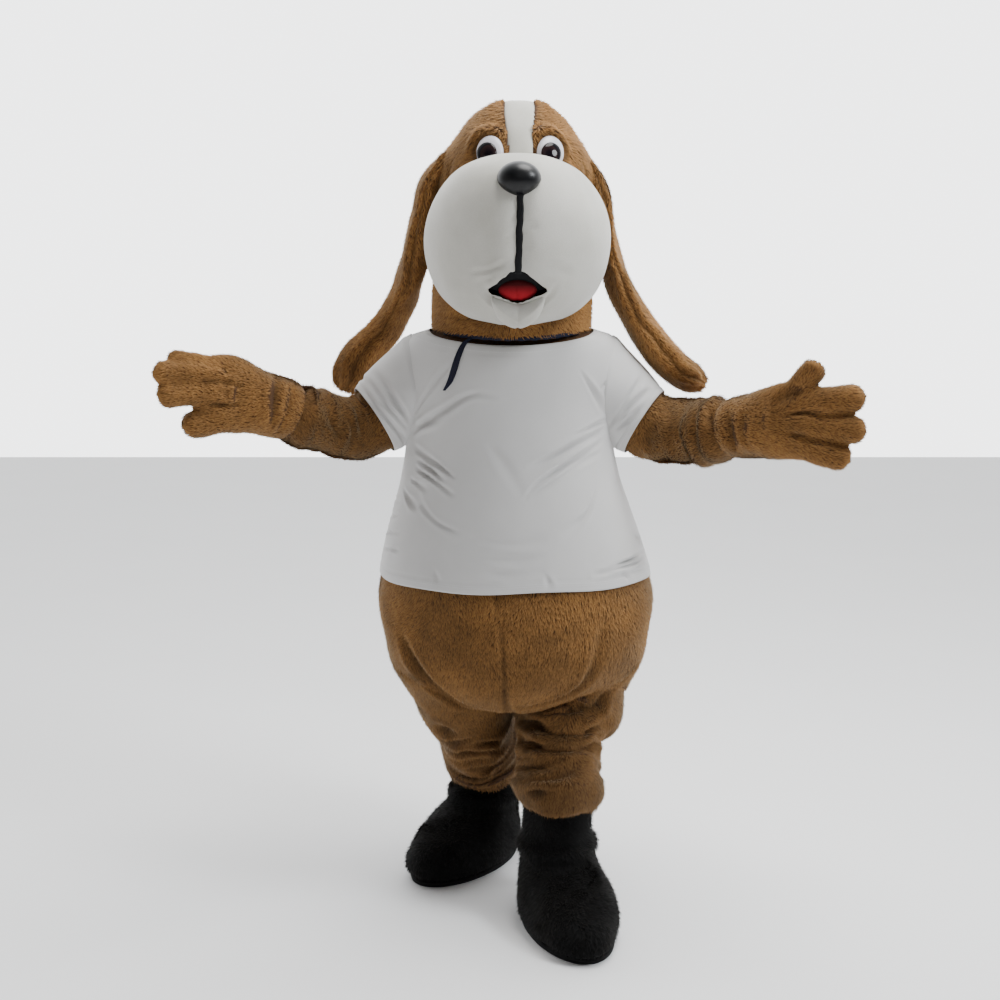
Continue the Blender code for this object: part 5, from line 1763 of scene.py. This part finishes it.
class COSTUME_OT_muzzle(bpy.types.Operator):
    """The muzzle: a big round cushion of short white plush with the mouth cut into it"""

    bl_idname = "costume.muzzle"
    bl_label = "Muzzle and mouth"

    def execute(self, context):
        sizes, shade = given(context)
        muzzle = ring_form(MUZZLE)
        angles = turns(180)
        heights = even_values(muzzle, 0.0, 1.3782, 1.7458, 90)
        points = muzzle(angles[None], heights[:, None])
        normals = grid_normals(points)
        shift = press_folds(muzzle, points, normals, MUZZLE_FOLDS, sizes.fold_depth, 13)
        shift += 0.0022 * waves(points, 0.10, 91) - 0.001 - 0.004 * smooth_step(points[..., 2], 1.70, 1.745)
        shift += valley(points[..., 0], points[..., 2]) * (points[..., 1] < -0.25)
        points, _ = pushed(points, normals, shift)
        keep = depth_in_rings(HEAD, points) > -0.010
        flat, faces = close_ends(points, grid_faces(*points.shape[:2], True, keep))
        base = add_mesh("muzzle_cushion", flat, faces, shade("white plush"))
        give_wall(base, 0.008)
        self.cut_mouth(base)
        piece(base, "white_plush", "muzzle_left", "muzzle_right")
        self.mouth(shade)
        self.line(shade)
        return {"FINISHED"}

    def cut_mouth(self, obj):
        """Cuts the mouth's outline out of the front."""
        edge = outline(MOUTH_EDGE, MOUTH_FOOT, 4)
        ragged = 1 + 0.02 * np.sin(np.arange(len(edge)) * 1.9) + 0.015 * np.sin(np.arange(len(edge)) * 4.3)
        edge = edge * ragged[:, None] + np.array(MOUTH_CENTRE)
        count = len(edge)
        points = [(x, y, z) for y in (-0.50, -0.30) for x, z in edge]
        faces = [[j, (j + 1) % count, count + (j + 1) % count, count + j] for j in range(count)]
        faces += [list(range(count)), list(range(2 * count - 1, count - 1, -1))]
        cutter = turned_out(add_mesh("mouth_cutter", np.array(points), faces, None))
        cut = obj.modifiers.new("mouth", "BOOLEAN")
        cut.operation, cut.object, cut.solver = "DIFFERENCE", cutter, "EXACT"
        finished(obj)
        bpy.data.objects.remove(cutter)

    def mouth(self, shade):
        behind = -0.0183
        wider = outline(MOUTH_EDGE, MOUTH_FOOT, 4) * 1.14
        lining = patch(
            "mouth_backing",
            MUZZLE,
            MOUTH_CENTRE,
            wider,
            lambda share, x, z: behind - 0.003 + 0 * x,
            lambda share, x, z: behind + 0 * x,
            shade("black felt"),
        )
        piece(lining, "black_felt", "mouth_lining")

        def groove(x, middle, deep):
            return deep * np.exp(-(((x - middle) / 0.003) ** 2))

        def tongue_rise(share, x, z):
            return behind + 0.0020 + 0.009 * np.sqrt(np.maximum(0, 1 - share**2)) - groove(x, 0.001, 0.002)

        tongue = patch(
            "red_tongue",
            MUZZLE,
            (MOUTH_CENTRE[0], MOUTH_CENTRE[1] - 0.011),
            oval(0.044, 0.0230),
            lambda share, x, z: behind + 0.0006 + 0 * x,
            tongue_rise,
            shade("red felt"),
        )
        piece(tongue, "red_felt", "tongue")
        chin = patch(
            "chin_lobe",
            MUZZLE,
            CHIN_CENTRE,
            outline(CHIN_EDGE, CHIN_FOOT, 4),
            lambda share, x, z: -0.004 + 0 * x,
            lambda share, x, z: 0.025 * np.sqrt(1 - 0.97 * share**2) - groove(x, 0.002, 0.003),
            shade("white plush"),
        )
        piece(chin, "white_plush", "chin")

    def line(self, shade):
        """The felt line from the nose to the mouth, a little wavy, laid in the muzzle's valley."""
        across = np.linspace(-1, 1, 7)[None]
        height = np.linspace(LINE_TOP + 0.004, LINE_FOOT - 0.009, 70)[:, None]
        centre = 0.002 + 0.026 * (height - LINE_FOOT)
        centre = centre + 0.0005 * np.sin(height * 95) + 0.0004 * np.sin(height * 210 + 1)
        half = LINE_HALF_WIDTH * (0.96 + 0.05 * np.sin(height * 130))
        x = centre + across * half
        z = height + 0 * across
        normals = front_normals(MUZZLE, x, z)
        points = front_place(MUZZLE, x, z) + normals * (valley(x, z) + 0.0034 - 0.0030 * across**4)[..., None]
        faces = [face[::-1] for face in grid_faces(*points.shape[:2], False)]
        made = add_mesh("felt_line", points, faces, shade("black felt"))
        give_wall(made, 0.003)
        piece(turned_out(made), "black_felt", "mouth_line")


class COSTUME_OT_face(bpy.types.Operator):
    """The nose and the eyes: glossy domes set on the muzzle and the head"""

    bl_idname = "costume.face"
    bl_label = "Nose and eyes"

    def execute(self, context):
        shade = shades(context)
        self.nose(shade)
        for side, centre in EYES.items():
            ball = patch(
                "eye_ball_" + side,
                HEAD,
                centre,
                oval(*EYE_HALF),
                lambda share, x, z: -0.004 + 0 * x,
                lambda share, x, z: 0.002 + 0.009 * np.sqrt(np.maximum(0, 1 - share**2)),
                shade("eye white"),
            )
            piece(ball, "eye_white", "eye_white_" + side)
            middle = (centre[0] - 0.003, centre[1] - 0.006)
            front = front_place(HEAD, np.array(middle[0]), np.array(middle[1])) - HOLD
            front = tuple(float(value) for value in front)
            finish = bpy.data.materials.get("iris " + side) or iris_finish("iris " + side, front)
            iris = patch(
                "eye_disc_" + side,
                HEAD,
                middle,
                oval(*IRIS_HALF),
                lambda share, x, z: 0.0095 + 0 * x,
                lambda share, x, z: 0.0122 + 0.005 * np.sqrt(np.maximum(0, 1 - share**2)),
                finish,
            )
            piece(iris, "iris_brown", "eye_iris_" + side)
        return {"FINISHED"}

    def nose(self, shade):
        polar = np.linspace(0.04, math.pi - 0.04, 40)[:, None]
        turn = turns(72)[None]
        across, upright = np.sin(polar) * np.sin(turn), np.sin(polar) * np.cos(turn)
        narrow = 1 - 0.20 * np.maximum(0, -upright) - 0.22 * np.maximum(0, -upright) ** 3
        depth = -np.cos(polar) * NOSE_HALF[1]
        shape = across * NOSE_HALF[0] * narrow, depth, upright * NOSE_HALF[2]
        local = np.stack(np.broadcast_arrays(*shape), -1)
        local *= (1 - 0.03 * np.exp(-((across / 0.10) ** 2)) * (upright < 0))[..., None]
        tilt = np.array(Matrix.Rotation(math.radians(NOSE_TILT), 3, "X"))
        points = local @ tilt.T + np.array(NOSE_CENTRE)
        flat, faces = close_ends(points, grid_faces(40, 72, True))
        made = turned_out(add_mesh("nose_dome", flat, faces, shade("nose gloss")))
        piece(made, "gloss_black", "nose")


class COSTUME_OT_boots(bpy.types.Operator):
    """The boots: round plush feet with a rolled ankle, on flat soles"""

    bl_idname = "costume.boots"
    bl_label = "Boots"

    def execute(self, context):
        kit = sizes, shade = given(context)
        for number, side in enumerate(SIDES):
            boot = self.form(side)
            angles = turns(90)
            heights = even_values(boot, 0.0, WELT_HEIGHT, SHAFT_TOP, 56)
            points = boot(angles[None], heights[:, None])
            normals = grid_normals(points)
            shift = 0.0030 * waves(points, 0.05, 101 + number)
            shift += 0.0030 * waves(points * (1, 1, 2.6), 0.05, 103) * smooth_step(points[..., 2], 0.15, 0.20)
            points, _ = pushed(points, normals, shift - sizes.pile_sink * 0.8)
            points[..., 2] = np.maximum(points[..., 2], 0.0125)
            normals = grid_normals(points)
            marks = {
                "pile": ((points[..., 2] < 0.286) & (points[..., 2] > 0.021)).astype(float),
                "nap": flowing(points, normals, (0.0, -0.25, -1.0), 0.6, 0.06, 104 + number),
            }
            faces = grid_faces(*points.shape[:2], True)
            nodes, pile = ["boot_" + side], {"length": 1.05, "count": 0.8, "lift": 0.62, "uneven": 0.40}
            name = "boot_shell_" + side
            plush(kit, name, points, faces, marks, nodes, 22 + number, sizes.backing, "black", **pile)
            self.sole(side, shade("sole rubber"))
        return {"FINISHED"}

    def sole(self, side, shade):
        """The flat sole, a little wider than the foot, with a rounded edge."""
        angles = turns(112)
        edge = self.form(side)(angles, np.full(angles.shape, WELT_HEIGHT))
        outward = unit((edge - edge.mean(0)) * (1, 1, 0))
        rings = []
        for height, out in SOLE_EDGE:
            ring = edge + outward * out
            ring[:, 2] = height
            rings.append(ring)
        flat, faces = close_ends(np.array(rings), grid_faces(5, 112, True))
        piece(turned_out(add_mesh("sole_" + side, flat, faces, shade)), "sole_rubber", "boot_sole_" + side)

    def form(self, side):
        foot = FEET[side]
        surface = ring_form(BOOT)
        turn = np.array(Matrix.Rotation(math.radians(foot.turn), 3, "Z"))

        def place(angle, height):
            points = surface(angle, height) @ turn.T + (foot.x, foot.y, 0.0)
            lean = np.clip((points[..., 2] - SHAFT_FOOT) / (SHAFT_TOP - SHAFT_FOOT), 0, None)
            return points + lean[..., None] * np.array([*foot.lean, 0.0])

        return place


class COSTUME_OT_tape(bpy.types.Operator):
    """The navy tape that is drawn through the neck edge, with its end hanging in front"""

    bl_idname = "costume.tape"
    bl_label = "Neck tape"

    def execute(self, context):
        _, shade = given(context)
        head = ring_form(HEAD)
        angles = turns(90, -58.0, 58.0)[None]
        drop = np.linspace(0, 1, 4)[:, None]
        points = head(angles, HEAD_FOOT + 0 * drop)
        points = points - unit(points - (0.0, 0.0, HEAD_FOOT)) * 0.0085
        rise = TAPE_TOP + SKIRT_RISE * np.sin(angles) ** 2
        points[..., 2] = rise - 0.009 * drop + 0.0008 * np.sin(angles * 40)
        band = add_mesh("tape_band", points, grid_faces(4, 90, False), shade("navy tape"))
        give_wall(band, 0.0016)
        piece(turned_out(band), "navy_tape", "neck_tape")
        self.end(shade)
        return {"FINISHED"}

    def end(self, shade):
        rows = smooth_rows([(-height, across, half) for height, across, half in TAPE_END])
        height = np.linspace(TAPE_END[0][0], TAPE_END[-1][0], 40)[:, None]
        row = rows(-height[:, 0])
        side = np.linspace(-1, 1, 5)[None]
        x = row[:, 1:2] + side * row[:, 2:3]
        z = height + 0 * side
        lift = SHIRT_WALL + SHIRT_EASE + 0.0032
        normals = front_normals(TORSO, x, z)
        middle = front_place(TORSO, x, z) + normals * lift
        curl = 0.0012 * np.sin(height * 60) * side + 0.0005 * side**2
        points, _ = pushed(middle, normals, curl, False)
        faces = [face[::-1] for face in grid_faces(40, 5, False)]
        made = add_mesh("tape_end", points, faces, shade("navy tape"))
        give_wall(made, 0.002)
        turned_out(made)
        piece(made, "navy_tape", "neck_tape_end")


class COSTUME_OT_stage(bpy.types.Operator):
    """A plain pale floor, soft lights and the camera"""

    bl_idname = "costume.stage"
    bl_label = "Studio"

    def execute(self, context):
        scene = context.scene
        corners = [(-8, -8, 0), (8, -8, 0), (8, 8, 0), (-8, 8, 0)]
        floor = add_mesh("studio_floor", corners, [(0, 1, 2, 3)], None)
        made, tree = new_finish("studio floor", {"Roughness": 0.9})
        colour = mixed(tree, noise(tree, 1.5, 2.0), (0.88, 0.88, 0.88), (0.92, 0.92, 0.92))
        floor.data.materials.append(painted(made, colour))
        world = bpy.data.worlds.new("studio")
        world.use_nodes = True
        room = world.node_tree
        sky = room.nodes["Background"]
        sky.inputs["Color"].default_value = (0.98, 0.99, 1.0, 1.0)
        where = node_out(room, "ShaderNodeTexCoord", (), "Generated")
        behind = node_out(room, "ShaderNodeSeparateXYZ", {0: where}, 1)
        room.links.new(ranged(room, behind, -0.3, 0.9, 0.08, 3.9), sky.inputs["Strength"])
        scene.world = world
        self.light("key", (2.6, -1.3, 2.0), (0.0, 0.0, 0.1), 1.0, 84.0, (0.93, 0.97, 1.0))
        self.light("top", (0.7, -0.3, 2.6), (0.0, 0.0, 0.3), 1.6, 96.0, (1.0, 0.99, 0.97))
        self.light("front", (0.4, -3.2, 1.8), (0.0, 0.0, -0.2), 2.4, 7.0, (1.0, 0.98, 0.95))
        self.light("fill", (-2.8, -2.0, 0.8), (0.0, 0.0, -0.2), 2.4, 4.0, (1.0, 0.88, 0.76))
        lens = bpy.data.cameras.new("studio camera")
        lens.sensor_fit = "HORIZONTAL"
        lens.sensor_width = 36.0
        lens.lens = 36.0 * 1268.0 / 1000.0
        camera = add_object("studio_camera", lens)
        camera.location = (-0.035, -3.0, 1.46 - HOLD_HEIGHT)
        camera.rotation_euler = (math.radians(90.0 - 9.5), 0.0, 0.0)
        scene.camera = camera
        return {"FINISHED"}

    def light(self, name, place, target, size, power, colour):
        lamp = bpy.data.lights.new(name, "AREA")
        lamp.shape, lamp.size, lamp.energy, lamp.color = "DISK", size, power, colour
        made = add_object(name + "_light", lamp)
        made.location = place
        aim = Vector(target) - Vector(place)
        made.rotation_euler = aim.to_track_quat("-Z", "Y").to_euler()


STEPS = (
    COSTUME_OT_stage,
    COSTUME_OT_tape,
    COSTUME_OT_suit,
    COSTUME_OT_legs,
    COSTUME_OT_sleeves,
    COSTUME_OT_gloves,
    COSTUME_OT_tshirt,
    COSTUME_OT_head,
    COSTUME_OT_ears,
    COSTUME_OT_muzzle,
    COSTUME_OT_face,
    COSTUME_OT_boots,
)


class COSTUME_PT_panel(bpy.types.Panel):
    """Lists the costume's pieces, sizes and colours"""

    bl_label = "Dog mascot costume"
    bl_space_type = "VIEW_3D"
    bl_region_type = "UI"
    bl_category = "Costume"

    def draw(self, context):
        for step in STEPS:
            self.layout.operator(step.bl_idname)
        for group in (context.scene.costume_sizes, context.scene.costume_colours):
            for name in group.__annotations__:
                self.layout.prop(group, name)


CLASSES = (CostumeSizes, CostumeColours, *STEPS, COSTUME_PT_panel)


def register():
    for item in CLASSES:
        bpy.utils.register_class(item)
    bpy.types.Scene.costume_sizes = PointerProperty(type=CostumeSizes)
    bpy.types.Scene.costume_colours = PointerProperty(type=CostumeColours)


def unregister():
    del bpy.types.Scene.costume_colours
    del bpy.types.Scene.costume_sizes
    for item in reversed(CLASSES):
        bpy.utils.unregister_class(item)


def main():
    register()
    for step in STEPS:
        group, name = step.bl_idname.split(".")
        getattr(getattr(bpy.ops, group), name)()


if __name__ == "__main__":
    main()
